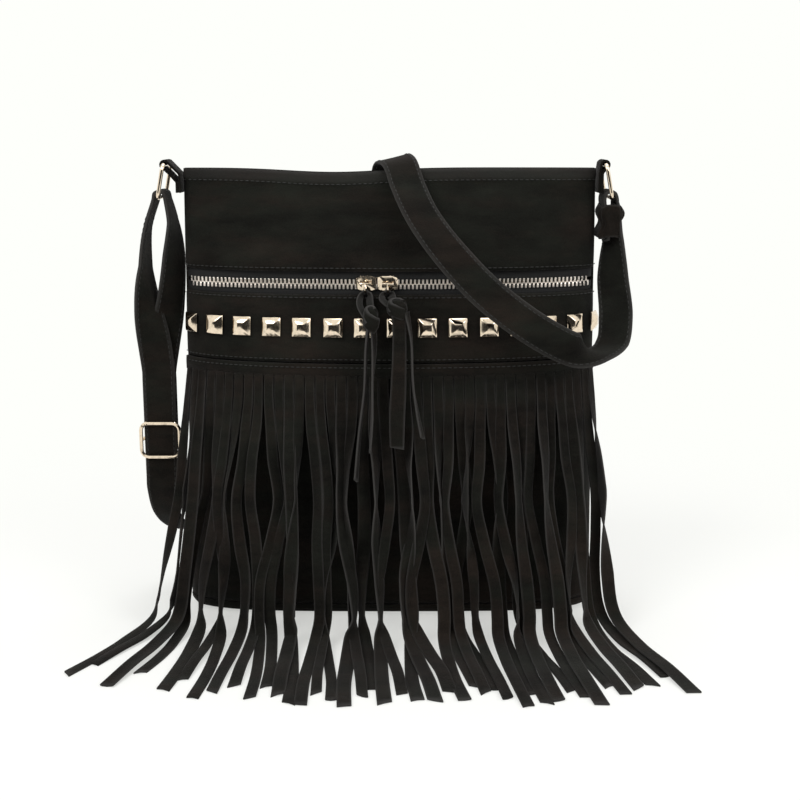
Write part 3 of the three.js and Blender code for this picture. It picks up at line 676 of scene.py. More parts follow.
def panel_piece(name, low, high, side, hem, up, seams):
    """A panel with rolled edges; hem is the height of a turned fold at its top, whose band is painted paler
    as a painted highlight.
    """
    points, edge = [], []
    turns = spread(PANEL_STEPS, -QUARTER_TURN, QUARTER_TURN)
    for turn in turns:
        x = shell_point(turn, BODY_HEIGHT, 0, side).x
        top = high(x) if callable(high) else high
        profile = panel_profile(low, top, up)
        for z, inset in profile:
            relief = 0.0
            if inset < SUEDE_THICKNESS * 0.9:
                relief = panel_relief(x, z, side) * side_fade(turn)
                for seam in seams:
                    relief += seam_pucker(x, abs(z - seam))
                if hem and z > top - hem:
                    relief = relief * 0.4 - 0.25
            points.append(shell_point(turn, z, inset + relief, side))
            # Painted highlight: the hem band at the top is painted paler through the edge mask, as if lit
            # from above
            painted_hem_highlight = smooth_step(z, top - hem - 0.5, top - hem + 0.5) if hem else 0.0
            edge.append(0.26 * painted_hem_highlight)
    faces = tube_faces(len(turns), len(profile))
    return mesh_piece(name, points, faces, MATERIALS["suede"], masks={"edge": edge})


class BAG_OT_panels(bpy.types.Operator):
    """Sews the suede panels of the shell"""
    bl_idname = "bag.panels"
    bl_label = "Shell panels"

    def execute(self, context):
        low = BASE_ROUNDING + CLEARANCE
        open_low = ZIP_HEIGHT - ZIP_OPENING / 2
        open_high = ZIP_HEIGHT + ZIP_OPENING / 2
        rows = (
            ("back_panel", low, top_edge, 1, HEM, 60, (low, HEM_SEAM), 0.30, 0.29),
            ("front_upper_panel", open_high, top_edge, -1, HEM, 24, (open_high, HEM_SEAM), 0.29, 0.066),
            ("front_band", FRINGE_SEAM + CLEARANCE, open_low, -1, 0, 16,
             (open_low, FRINGE_SEAM), 0.30, 0.045),
            ("front_lower_panel", low, FRINGE_SEAM, -1, 0, 40, (low, FRINGE_SEAM), 0.30, 0.166),
        )
        for node, bottom, high, side, hem, up, seams, wide, tall in rows:
            piece = panel_piece(f"{node}_suede", bottom, high, side, hem, up, seams)
            settle(piece, BODY, "suede", node)
        dress("base_panel", "suede")
        dress("main_lining", "lining")
        dress("pocket_lining", "lining")
        return {"FINISHED"}


# Stitching

THREAD_RADIUS = 0.28
THREAD_SIDES = 5
STITCH_GAP = 0.9
FIRST_STITCH = 0.6
# Along a stitch: share of its length, share of the thread's radius, and how far it rises
STITCH_LEVELS = ((0, 0.25, -0.15), (0.2, 1, 0.1), (0.5, 1.15, 0.1), (0.8, 1, 0.1), (1, 0.25, -0.15))
# Distances of the stitch rows from the edges that they hold
UPPER_ROW = 2.4
LOWER_ROW = 2.0
BAND_ROW = 2.6
HEADER_ROW = 2.2


def stitch_mesh(name, runs, radius=THREAD_RADIUS):
    """Rows of stitches; each run is a list of (place, outward) along a seam, in millimetres."""
    points, faces = [], []
    length = settings().stitch_length / MM
    for run in runs:
        gone = 0.0
        next_start = FIRST_STITCH
        for (a, out), (b, _) in zip(run, run[1:]):
            step = (b - a).length
            while next_start < gone + step:
                start = a + (b - a) * ((next_start - gone) / step)
                along = (b - a).normalized()
                side = along.cross(out).normalized()
                base = len(points)
                for share, size, rise in STITCH_LEVELS:
                    middle = start + along * (length * share) + out * (rise + radius * 0.6)
                    for k in range(THREAD_SIDES):
                        angle = 2 * math.pi * k / THREAD_SIDES
                        round_the = side * math.cos(angle) + out * math.sin(angle)
                        points.append(middle + round_the * radius * size)
                faces += tube_faces(len(STITCH_LEVELS), THREAD_SIDES, base)
                next_start += length + STITCH_GAP
            gone += step
    return mesh_piece(name, points, faces, MATERIALS["thread"])


def shell_run(z, side, reach=0.97, outset=0.0):
    """Places and outward directions along the shell at one height, or along a line z(x)."""
    turns = spread(160, -reach * QUARTER_TURN, reach * QUARTER_TURN)
    run = []
    for turn in turns:
        height = z(shell_point(turn, BODY_HEIGHT, 0, side).x) if callable(z) else z
        x = shell_point(turn, height, 0, side).x
        relief = panel_relief(x, height, side) * side_fade(turn)
        run.append((shell_point(turn, height, relief - outset, side), shell_normal(turn, height, side)))
    return run


class BAG_OT_stitches(bpy.types.Operator):
    """Sews the visible rows of stitches"""
    bl_idname = "bag.stitches"
    bl_label = "Stitching"

    def execute(self, context):
        def hem_line(x):
            return top_edge(x) - HEM - 0.6
        header_out = CLEARANCE + FRINGE_THICKNESS + 0.3
        runs = [
            shell_run(hem_line, -1), shell_run(hem_line, 1),
            shell_run(ZIP_HEIGHT + ZIP_OPENING / 2 + UPPER_ROW, -1),
            shell_run(ZIP_HEIGHT - ZIP_OPENING / 2 - LOWER_ROW, -1),
            shell_run(FRINGE_SEAM + BAND_ROW, -1),
            shell_run(FRINGE_SEAM - HEADER_ROW, -1, FRINGE_REACH * 0.98, header_out + 0.45),
        ]
        piece = stitch_mesh("seam_stitches", runs)
        settle(piece, BODY, "suede")
        return {"FINISHED"}


# Front zip

ZIP_LINE = half_depth(ZIP_HEIGHT) + CLEARANCE / 2 - ZIP_RECESS - TAPE_THICKNESS / 2
ZIP_CENTRE = ZIP_RADIUS - ZIP_LINE


def zip_point(x):
    """A point of the front zip's middle line in plan: a true arc, then along the panel."""
    def shell(at):
        ending = smooth_step(at, ZIP_ARC_REACH, half_width(ZIP_HEIGHT))
        depth = ZIP_RECESS + TAPE_THICKNESS / 2 + (END_RECESS - ZIP_RECESS) * ending
        return shell_point(turn_at_x(at, ZIP_HEIGHT, depth), ZIP_HEIGHT, depth, -1).y
    reach = min(abs(x), ZIP_ARC_REACH)
    arc = ZIP_CENTRE - math.sqrt(ZIP_RADIUS ** 2 - reach ** 2)
    beyond = shell(abs(x)) - shell(ZIP_ARC_REACH) if abs(x) > ZIP_ARC_REACH else 0
    return Vector((x, arc + beyond, 0))


def zip_frame(x):
    along = (zip_point(x + 0.5) - zip_point(x - 0.5)).normalized()
    return zip_point(x), along, Vector((along.y, -along.x, 0))


def tape_piece(name, way):
    """A zip tape, way 1 above the teeth and -1 below, its far edge laid behind the panel."""
    reach = ZIP_REACH * half_width(ZIP_HEIGHT)
    flat_edge = ZIP_HEIGHT + way * (SLIDER_HEIGHT / 2 + CLEARANCE)
    far = ZIP_HEIGHT + way * TAPE_WIDTH
    near = ZIP_HEIGHT + way * 1.4
    half = TAPE_THICKNESS / 2
    points = []
    rings = spread(120, -QUARTER_TURN, QUARTER_TURN)
    for q in rings:
        at, _, out = zip_frame(reach * math.sin(q))
        seat = SUEDE_THICKNESS + TAPE_GAP + half
        shift = min(shell_point(turn_at_x(at.x, far, seat), far, seat, -1).y - at.y, 9)

        def place(u, z, move=0.0):
            return Vector((at.x + out.x * u, at.y + out.y * u + move, z))
        points += [
            place(half, near), place(0, near - way * 0.3), place(-half, near), place(-half, flat_edge),
            place(-half, far, shift), place(half, far, shift), place(half, flat_edge),
        ]
    return mesh_piece(name, points, tube_faces(len(rings), 7), MATERIALS["tape"], smooth=False)


# One tooth, as levels of (height share, width share, depth share): foot, both ends of the shank, waist, head
TOOTH_LEVELS = ((-0.5, 0.62, 0.8), (-0.42, 0.78, 1.0), (0.12, 0.78, 1.0), (0.3, 0.62, 0.86), (0.5, 0.82, 0.9))
TOOTH_SWELL = 1.15
TOOTH_CORNER = 0.4
TOOTH_SEAT = 0.25


def tooth_model():
    """One zip tooth, head up: a cube with cut corners, drawn out to its foot, its waist and its head."""
    foot, shank, neck, waist, head = TOOTH_LEVELS
    deselect_all()
    bpy.ops.mesh.primitive_cube_add(size=2)
    tooth = bpy.context.active_object
    bpy.ops.object.mode_set(mode="EDIT")
    bpy.ops.mesh.select_mode(type="EDGE")
    bpy.ops.mesh.select_all(action="DESELECT")
    shape = bmesh.from_edit_mesh(tooth.data)
    for edge in shape.edges:
        low, high = sorted(vertex.co.z for vertex in edge.verts)
        if high - low > 1:
            edge.select_set(True)
    bmesh.update_edit_mesh(tooth.data)
    bpy.ops.mesh.bevel(offset=TOOTH_CORNER, segments=1, affect="EDGES")
    bpy.ops.mesh.select_mode(type="VERT")
    bpy.ops.object.mode_set(mode="OBJECT")

    def half(level):
        return TOOTH_WIDTH * level[1] / 2 * TOOTH_SWELL * MM, TOOTH_DEPTH * level[2] / 2 * MM

    tooth.scale = (*half(shank), (neck[0] - shank[0]) / 2 * TOOTH_HEIGHT * MM)
    tooth.location.z = (neck[0] + shank[0]) / 2 * TOOTH_HEIGHT * MM
    apply_transform()
    bpy.ops.object.mode_set(mode="EDIT")
    for way, below, level in ((-1, shank, foot), (1, neck, waist), (1, waist, head)):
        end_face(tooth.data, way)
        rise = (level[0] - below[0]) * TOOTH_HEIGHT * MM
        bpy.ops.mesh.extrude_region_move(TRANSFORM_OT_translate={"value": (0, 0, rise)})
        shares = [new / old for new, old in zip(half(level), half(below))]
        bpy.ops.transform.resize(value=(*shares, 1))
    finish_edit()
    return tooth


def teeth_row(name, way):
    """Copies of one tooth along a tape's edge, heads towards the other row, joined as one piece."""
    count = int(ZIP_REACH * half_width(ZIP_HEIGHT) / TOOTH_PITCH)
    model = tooth_model()
    teeth = []
    for i in range(-count, count):
        at, along, out = zip_frame((i + TOOTH_STAGGER[way]) * TOOTH_PITCH)
        middle = Vector((at.x, at.y, ZIP_HEIGHT - TEETH_DROP + way * (TOOTH_HEIGHT / 2 - TOOTH_SEAT)))
        tooth = model.copy()
        tooth.data = model.data.copy()
        bpy.context.scene.collection.objects.link(tooth)
        turn = Matrix((along * way, out, (0, 0, -way))).transposed()
        tooth.matrix_world = Matrix.Translation(middle * MM) @ turn.to_4x4()
        teeth.append(tooth)
    bpy.data.objects.remove(model)
    deselect_all()
    for tooth in teeth:
        tooth.select_set(True)
    row = teeth[0]
    bpy.context.view_layer.objects.active = row
    bpy.ops.object.join()
    apply_transform()
    row.name = row.data.name = name
    row.data.materials.append(MATERIALS["teeth"])
    deselect_all()
    return row


# Roundings in metres and angles in radians, as Blender takes them
EDGE_ROUNDING = 0.0003
TAB_ROUNDING = 0.0004
FLAT_ANGLE = 0.02
COPY_CREASE = 0.5
COPY_SMOOTHING = 0.6


def bevelled_copy(node, name, width, body, slot="pale_gold", material="gold"):
    """A CAD node's copy as a piece: its loose triangles merged, and its edges rounded unless width is 0."""
    deselect_all()
    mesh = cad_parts[node].data.copy()
    piece = bpy.data.objects.new(name, mesh)
    bpy.context.scene.collection.objects.link(piece)
    mesh.materials.clear()
    mesh.materials.append(MATERIALS[material])
    bpy.context.view_layer.objects.active = piece
    piece.select_set(True)
    bpy.ops.object.mode_set(mode="EDIT")
    bpy.ops.mesh.select_all(action="SELECT")
    bpy.ops.mesh.remove_doubles(threshold=MERGE_DISTANCE)
    bpy.ops.mesh.tris_convert_to_quads(face_threshold=FLAT_ANGLE, shape_threshold=3.14)
    bpy.ops.mesh.dissolve_limited(angle_limit=FLAT_ANGLE)
    bpy.ops.object.mode_set(mode="OBJECT")
    if width:
        round_edges(piece, width, COPY_CREASE, harden=True)
    bpy.ops.object.shade_smooth_by_angle(angle=COPY_SMOOTHING)
    deselect_all()
    settle(piece, body, slot, node)


class BAG_OT_front_zip(bpy.types.Operator):
    """Makes the front zip's tapes, teeth and sliders"""
    bl_idname = "bag.front_zip"
    bl_label = "Front zip"

    def execute(self, context):
        for level, way in (("upper", 1), ("lower", -1)):
            tape = tape_piece(f"front_zip_{level}_cloth", way)
            teeth = teeth_row(f"front_zip_{level}_teeth", way)
            settle(tape, BODY, "zip_tape", f"front_zip_{level}_tape")
            settle(teeth, BODY, "metal_zip")
        for side in ("left", "right"):
            bevelled_copy(f"front_zip_slider_{side}", f"front_slider_{side}", EDGE_ROUNDING, f"{side}_slider")
        return {"FINISHED"}


# Rings and wire

WIRE_SIDES = 16
CORNER_STEPS = 7


def wire_ring(name, width, height, corner, wire, material):
    """A round wire bent into a rounded rectangle: a circle drawn along the sides and spun at the corners."""
    across, up = (width / 2 - corner) * MM, (height / 2 - corner) * MM
    deselect_all()
    bpy.ops.mesh.primitive_circle_add(
        vertices=WIRE_SIDES, radius=wire / 2 * MM, fill_type="NOTHING", location=(width / 2 * MM, 0, -up))
    ring = bpy.context.active_object
    apply_transform()
    bpy.ops.object.mode_set(mode="EDIT")
    bpy.ops.mesh.select_all(action="SELECT")
    for x, z, side in (
            (across, up, (0, 0, 2 * up)), (-across, up, (-2 * across, 0, 0)),
            (-across, -up, (0, 0, -2 * up)), (across, -up, (2 * across, 0, 0))):
        bpy.ops.mesh.extrude_edges_move(TRANSFORM_OT_translate={"value": side})
        bpy.ops.mesh.spin(steps=CORNER_STEPS, angle=QUARTER_TURN, center=(x, 0, z), axis=(0, 1, 0))
    bpy.ops.mesh.select_all(action="SELECT")
    bpy.ops.mesh.remove_doubles(threshold=MERGE_DISTANCE)
    finish_edit()
    bpy.ops.object.shade_smooth()
    ring.name = ring.data.name = name
    ring.data.materials.append(material)
    return ring


def ring_bars(way, outward):
    """A ring's upper and lower bar: x of each, z of each, and the ring's lean."""
    top = way * (TOP_WIDTH / 2 + outward)
    rise = RING_HEIGHT - RING_WIRE
    lean = math.asin(RING_LEAN / rise)
    return top, top + way * RING_LEAN, RING_TOP, RING_TOP - rise * math.cos(lean), lean


class BAG_OT_fittings(bpy.types.Operator):
    """Bends the rings, their tabs and the strap slide"""
    bl_idname = "bag.fittings"
    bl_label = "Rings, tabs and slide"

    def execute(self, context):
        for side, way, outward in (("left", -1, LEFT_RING_OUT), ("right", 1, RIGHT_RING_OUT)):
            top, low, top_z, low_z, lean = ring_bars(way, outward)
            turn = Matrix.Rotation(-way * lean, 3, "Y") @ Matrix.Rotation(QUARTER_TURN, 3, "Z")
            middle = Vector(((top + low) / 2, 0, (top_z + low_z) / 2))
            ring = wire_ring(
                f"ring_{side}", RING_WIDTH - RING_WIRE, RING_HEIGHT - RING_WIRE, RING_CORNER, RING_WIRE,
                MATERIALS["gold"])
            ring.matrix_world = Matrix.Translation(middle * MM) @ turn.to_4x4()
            apply_transform()
            deselect_all()
            settle(ring, f"{side}_ring", "pale_gold", f"strap_ring_{side}")
            bevelled_copy(f"ring_tab_{side}", f"tab_{side}", TAB_ROUNDING, BODY, "suede", "suede")
        bevelled_copy("strap_slide", "slide_frame", 0, "slide")
        for side in ("left", "right"):
            bevelled_copy(f"front_zip_pull_{side}", f"pull_{side}", 0, f"{side}_pull")
        return {"FINISHED"}


# Tassels

KNOT_FULLNESS = 1.2
TASSEL_THICKNESS = 1.3
LOOP_WIDTH = 4.6
LOOP_GAP = 1.2
# The knot's winding strip, as shares of the knot's half size
WINDING_REACH = 0.62
WINDING_BAND = 1.35
WINDING_THICKNESS = 2.0
WINDING_CUP = -1.3
CORE_SHARE = 0.8
CORE_LEVELS = 9
CORE_SIDES = 12

LEFT_TASSEL = {
    "at": LEFT_SLIDER_AT,
    "knot": (4, -51, 204), "size": (10, 8.5, 13),
    "tails": (
        (5, (
            (3, -51, 204, 70), (1, -53.5, 186, 80), (0, -57, 160, 85), (-3, -64, 132, 80),
            (-5, -71, 104, 70))),
        (5.5, (
            (5, -51, 204, 40), (6, -53, 188, 60), (5, -57.5, 164, 95), (5, -64, 142, 100),
            (4, -69, 122, 95))),
    ),
}
RIGHT_TASSEL = {
    "at": RIGHT_SLIDER_AT,
    "knot": (6, -49, 210.5), "size": (14, 8, 10),
    "tails": (
        (9.5, (
            (7, -49.5, 210, 5), (7.5, -52, 192, 4), (7, -56.5, 165, -4), (6, -62, 142, -8),
            (6, -66.5, 124, -6))),
        (5, (
            (12, -49.5, 209, 60), (15, -52.5, 190, 85), (16, -58, 164, 95), (19, -64, 145, 80),
            (22, -67.5, 131, 70))),
    ),
}


def tassel_parts(spec):
    """Points, faces and masks of a tassel, in the zip's straight frame."""
    points, faces, edge, flesh = [], [], [], []
    cut = []

    def add(new_points, new_edge, new_flesh, rings, count):
        faces.extend(tube_faces(rings, count, len(points)))
        points.extend(new_points)
        edge.extend(new_edge)
        flesh.extend(new_flesh)

    def add_strip(stations, width, steps, cup=0.0, slant=0.0):
        frames = curve_frames(stations, steps)

        def strip_width(share):
            return width * (1 - 0.08 * math.sin(7 * share))
        made = strip_points(frames, strip_width, TASSEL_THICKNESS, cup, slant)
        add(*made, steps + 1, len(STRIP_SECTION))
        cut.append(width * frames_length(frames))

    eye = -ZIP_LINE - BAIL_LINE
    hang = ZIP_HEIGHT - PULL_DROP - PULL_RADIUS + PULL_WIRE + LOOP_GAP
    x, y, z = spec["knot"]
    loop = (
        (x - 2, y, z, 20), (-3.4, (y + eye) / 2 - 1, (z + hang) / 2, 40), (-2.1, eye, hang - 2.4, 70),
        (0, eye, hang, 90), (2.1, eye, hang - 2.4, 110), (3.4, (y + eye) / 2 - 1, (z + hang) / 2, 140),
        (x + 2, y, z, 160),
    )
    add_strip(loop, LOOP_WIDTH, 48)
    for width, stations in spec["tails"]:
        add_strip(stations, width, 44, 0.25, 0.8)
    # The knot: a strip wound over and under itself
    wide, deep, tall = (s * KNOT_FULLNESS / 2 for s in spec["size"])
    winding = []
    for share in spread(9, 0, 1):
        a = 2 * math.pi * share * 1.5 + 0.4
        winding.append((
            x + math.cos(a) * wide * WINDING_REACH, y + math.sin(a) * deep * WINDING_REACH,
            z + tall * 0.55 * math.sin(a * 0.67 + 0.5), math.degrees(a) + 90,
        ))
    frames = []
    for at, along, _, _ in curve_frames(winding, 60):
        out = Vector((at.x - x, at.y - y, (at.z - z) * 0.3)).normalized()
        across = along.cross(out).normalized()
        frames.append((at, along, across, out))
    made = strip_points(frames, lambda share: tall * WINDING_BAND, WINDING_THICKNESS, WINDING_CUP)
    add(*made, len(frames), len(STRIP_SECTION))
    cut.append(tall * WINDING_BAND * frames_length(frames))
    core = []
    for level in spread(CORE_LEVELS - 1, 0, math.pi):
        for k in range(CORE_SIDES):
            a = 2 * math.pi * k / CORE_SIDES
            size = max(math.sin(level), 0.02)
            core.append(Vector((
                x + wide * CORE_SHARE * size * math.cos(a), y + deep * CORE_SHARE * size * math.sin(a),
                z + tall * math.cos(level))))
    add(core, [0.0] * len(core), [0.0] * len(core), CORE_LEVELS, CORE_SIDES)
    spin = Matrix.Rotation(math.asin(spec["at"] / ZIP_RADIUS), 3, "Z")
    centre = Vector((0, ZIP_CENTRE, 0))
    placed = [spin @ (Vector(p) - centre) + centre for p in points]
    return placed, faces, edge, flesh, sum(cut)


class BAG_OT_tassels(bpy.types.Operator):
    """Ties the knotted suede tassels on the front zip's pulls"""
    bl_idname = "bag.tassels"
    bl_label = "Tassels"

    def execute(self, context):
        for side, spec in (("left", LEFT_TASSEL), ("right", RIGHT_TASSEL)):
            points, faces, edge, flesh, area = tassel_parts(spec)
            masks = {"edge": edge, "flesh": flesh}
            piece = mesh_piece(f"suede_tassel_{side}", points, faces, MATERIALS["fringe"], masks=masks)
            settle(piece, f"{side}_pull", "suede", f"tassel_{side}")
        return {"FINISHED"}


# Studs

def stud_seat(index):
    """Middle of a stud's back and its directions across, up and out, in millimetres."""
    turn = turn_at_arc((index - (STUD_COUNT - 1) / 2) * STUD_PITCH + STUD_OFFSET, STUD_HEIGHT)
    out = shell_normal(turn, STUD_HEIGHT, -1)
    across = Vector((0, 0, 1)).cross(-out).normalized()
    at = frame_middle(f"stud_{index + 1:02d}", out)
    return at, across, out.cross(across).normalized() * -1, out


def frame_middle(node, out):
    """Middle of a node's rearmost face along a direction, in millimetres."""
    points = [v.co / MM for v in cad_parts[node].data.vertices]
    back = min(p.dot(out) for p in points)
    middle = sum(points, Vector()) / len(points)
    return middle + out * (back - middle.dot(out))


class BAG_OT_studs(bpy.types.Operator):
    """Forms the pyramid studs, their slopes rounding into a flat top, and plates them"""
    bl_idname = "bag.studs"
    bl_label = "Studs"

    def execute(self, context):
        for i in range(STUD_COUNT):
            at, across, up, out = stud_seat(i)
            bpy.ops.mesh.primitive_cube_add(size=1)
            piece = context.active_object
            piece.name = f"pyramid_{i + 1:02d}"
            bpy.ops.object.mode_set(mode="EDIT")
            shape = bmesh.from_edit_mesh(piece.data)
            for vertex in shape.verts:
                x, y, z = vertex.co
                vertex.co = Vector((x * STUD_SIZE, y * STUD_SIZE, (z + 0.5) * STUD_RIM))
            for size, height in STUD_LEVELS:
                end_face(piece.data, 1)
                bpy.ops.mesh.extrude_region()
                shape = bmesh.from_edit_mesh(piece.data)
                for vertex in shape.verts:
                    if vertex.select:
                        x, y = (math.copysign(size / 2, c) for c in vertex.co.xy)
                        vertex.co = Vector((x, y, height))
                bmesh.update_edit_mesh(piece.data)
            bpy.ops.object.mode_set(mode="OBJECT")
            for vertex in piece.data.vertices:
                x, y, z = vertex.co
                vertex.co = (at + across * x + up * y + out * z) * MM
            round_edges(piece, settings().stud_bevel, STUD_CREASE)
            bpy.ops.object.mode_set(mode="EDIT")
            finish_edit()
            bpy.ops.object.shade_smooth_by_angle(angle=STUD_SMOOTHING)
            piece.data.materials.append(MATERIALS["gold"])
            settle(piece, BODY, "pale_gold", f"stud_{i + 1:02d}")
        return {"FINISHED"}


# Fringe

# Where each strip ends on the floor, from left to right
STRIP_TIPS = (
    (-194, -132), (-181, -118), (-166, -149), (-150, -130), (-132, -154), (-123, -140), (-113, -165),
    (-103, -157), (-91, -149), (-80, -165), (-72, -150), (-64, -161), (-57, -172), (-50, -174),
    (-42, -159), (-33, -168), (-25, -176), (-15, -163), (-8, -154), (-2, -172), (8, -160),
    (17, -168), (27, -169), (36, -157), (44, -168), (51, -150), (57, -158), (64, -154),
    (69, -166), (80, -176), (85, -160), (91, -172), (98, -169), (107, -156), (114, -164),
    (122, -174), (130, -150), (138, -160), (147, -152), (156, -148), (166, -136), (178, -158),
)
STRIP_TWISTS = (35, -50, 15, 60, -20, 5, -65, 30, -10, 50, -35, 12, 70, -25, 20, -55)


def strip_stations(index, arcs, rng):
    """A strip's route: it hangs, twists and wanders, then bends along the floor to its tip."""
    arc = -arcs + 2 * arcs * (index + 0.5) / len(STRIP_TIPS)
    turn = turn_at_arc(arc, FRINGE_SEAM)
    out = shell_normal(turn, FRINGE_SEAM, -1)
    out = Vector((out.x, out.y, 0)).normalized()
    lift = CLEARANCE + FRINGE_THICKNESS / 2 + 0.05
    start = shell_point(turn, FRINGE_SEAM - HEADER_HEIGHT + 1.5, 0, -1) + out * lift
    tip_x, tip_y = STRIP_TIPS[index]
    touch_x = start.x + TOUCH_SHARE * (tip_x - start.x)
    touch_y = start.y + TOUCH_FORWARD * (tip_y - start.y)
    floor = FRINGE_THICKNESS / 2 + 0.1 + LAYER_LIFT * (index % LAYERS)
    tilt = math.degrees(math.atan2(out.x, -out.y))
    run = math.degrees(math.atan2(tip_x - touch_x, -(tip_y - touch_y)))
    twist = STRIP_TWISTS[index % len(STRIP_TWISTS)] * rng.uniform(0.9, 1.9)
    low_twist = rng.choice((0, 0, 1, -1)) * rng.uniform(40, 95)
    sway = rng.uniform(-7, 7)
    low_sway = rng.uniform(-9, 9)
    layer = LAYER_DEPTH * (index % LAYERS)
    phase = rng.uniform(0, 2 * math.pi)
    inner = abs(start.x) < INNER_REACH

    def between(share, z, angle, aside=0.0, forward=0.0):
        x = start.x + (touch_x - start.x) * share + (aside if inner else aside * OUTER_SWAY)
        y = start.y + (touch_y - start.y) * share - forward
        return (x, y, z, angle)
    return [
        (start.x, start.y, start.z, tilt),
        between(0.08, 150, tilt, 0, 0.2),
        between(0.16, 134, tilt + twist * 0.2, sway * 0.2, 0.4 + layer * 0.3),
        between(0.27, 112, tilt + twist * 0.7, sway * 0.6 + math.sin(phase), 1 + layer),
        between(0.4, 88, tilt + twist, sway, 2.5 + layer),
        between(
            0.54, 64, (tilt + run) / 2 + twist * 0.5, sway * 0.5 + low_sway * 0.4 - math.sin(phase),
            3 + layer),
        between(0.7, 38, run + low_twist * 0.6, low_sway * 0.9, 2.5 + layer * 0.7),
        between(0.86, 18, run + low_twist, low_sway, 2 + layer * 0.4),
        between(1.04, 6.5 + floor, run + low_twist * 0.5, low_sway * 0.7, 1),
        (touch_x + (tip_x - touch_x) * 0.34 + low_sway * 0.3, touch_y + (tip_y - touch_y) * 0.34,
         floor + 1, run),
        (touch_x + (tip_x - touch_x) * 0.68, touch_y + (tip_y - touch_y) * 0.68, floor, run),
        (tip_x, tip_y, FRINGE_THICKNESS / 2 + 0.3, run + rng.uniform(-14, 14)),
    ]


class BAG_OT_fringe(bpy.types.Operator):
    """Cuts the fringe and lays its strips on the floor"""
    bl_idname = "bag.fringe"
    bl_label = "Fringe"

    def execute(self, context):
        rng = random.Random(settings().fringe_seed)
        width = settings().strip_width / MM
        turns, lengths = arc_table(FRINGE_SEAM)
        last = FRINGE_REACH * 0.985 * QUARTER_TURN
        arcs = next(length for turn, length in zip(turns, lengths) if turn >= last)
        points, faces, edge, flesh = [], [], [], []
        for index in range(len(STRIP_TIPS)):
            stations = strip_stations(index, arcs, rng)
            phase = rng.uniform(0, 6.28)
            cup = rng.uniform(-0.7, 0.7)
            frames = curve_frames(stations, STRIP_STEPS, STRIP_FLOOR)
            wave = rng.uniform(0.02, 0.07)
            grow = rng.uniform(0.0, 0.42)
            paleness = rng.uniform(0.25, 1.0)

            def strip_width(share, phase=phase, wave=wave, grow=grow):
                ripple = wave * math.sin(9 * share + phase)
                return width * (1 + grow * smooth_step(share, 0.06, 0.3) + ripple)
            slant = rng.uniform(-2.4, 2.4)
            made = strip_points(frames, strip_width, FRINGE_THICKNESS, cup, slant)
            faces += tube_faces(len(frames), len(STRIP_SECTION), len(points))
            points += made[0]
            edge += [value * paleness for value in made[1]]
            flesh += made[2]
        # The uncut header along the seam
        rings = spread(120, -FRINGE_REACH * QUARTER_TURN, FRINGE_REACH * QUARTER_TURN)
        low, high = FRINGE_SEAM - HEADER_HEIGHT, FRINGE_SEAM
        outset = CLEARANCE + FRINGE_THICKNESS + 0.05
        base = len(points)
        profile = (
            (low, -outset), ((low + high) / 2, -outset - 0.15), (high - 0.4, -outset), (high, -outset + 0.5),
            (high, FRINGE_THICKNESS - outset), (low, FRINGE_THICKNESS - outset))
        for turn in rings:
            for z, inset in profile:
                points.append(shell_point(turn, z, inset, -1))
                edge.append(0.0)
                flesh.append(0.0)
        faces += tube_faces(len(rings), len(profile), base)
        masks = {"edge": edge, "flesh": flesh}
        piece = mesh_piece("suede_fringe", points, faces, MATERIALS["fringe"], masks=masks)
        settle(piece, BODY, "suede", "fringe")
        return {"FINISHED"}


# Strap

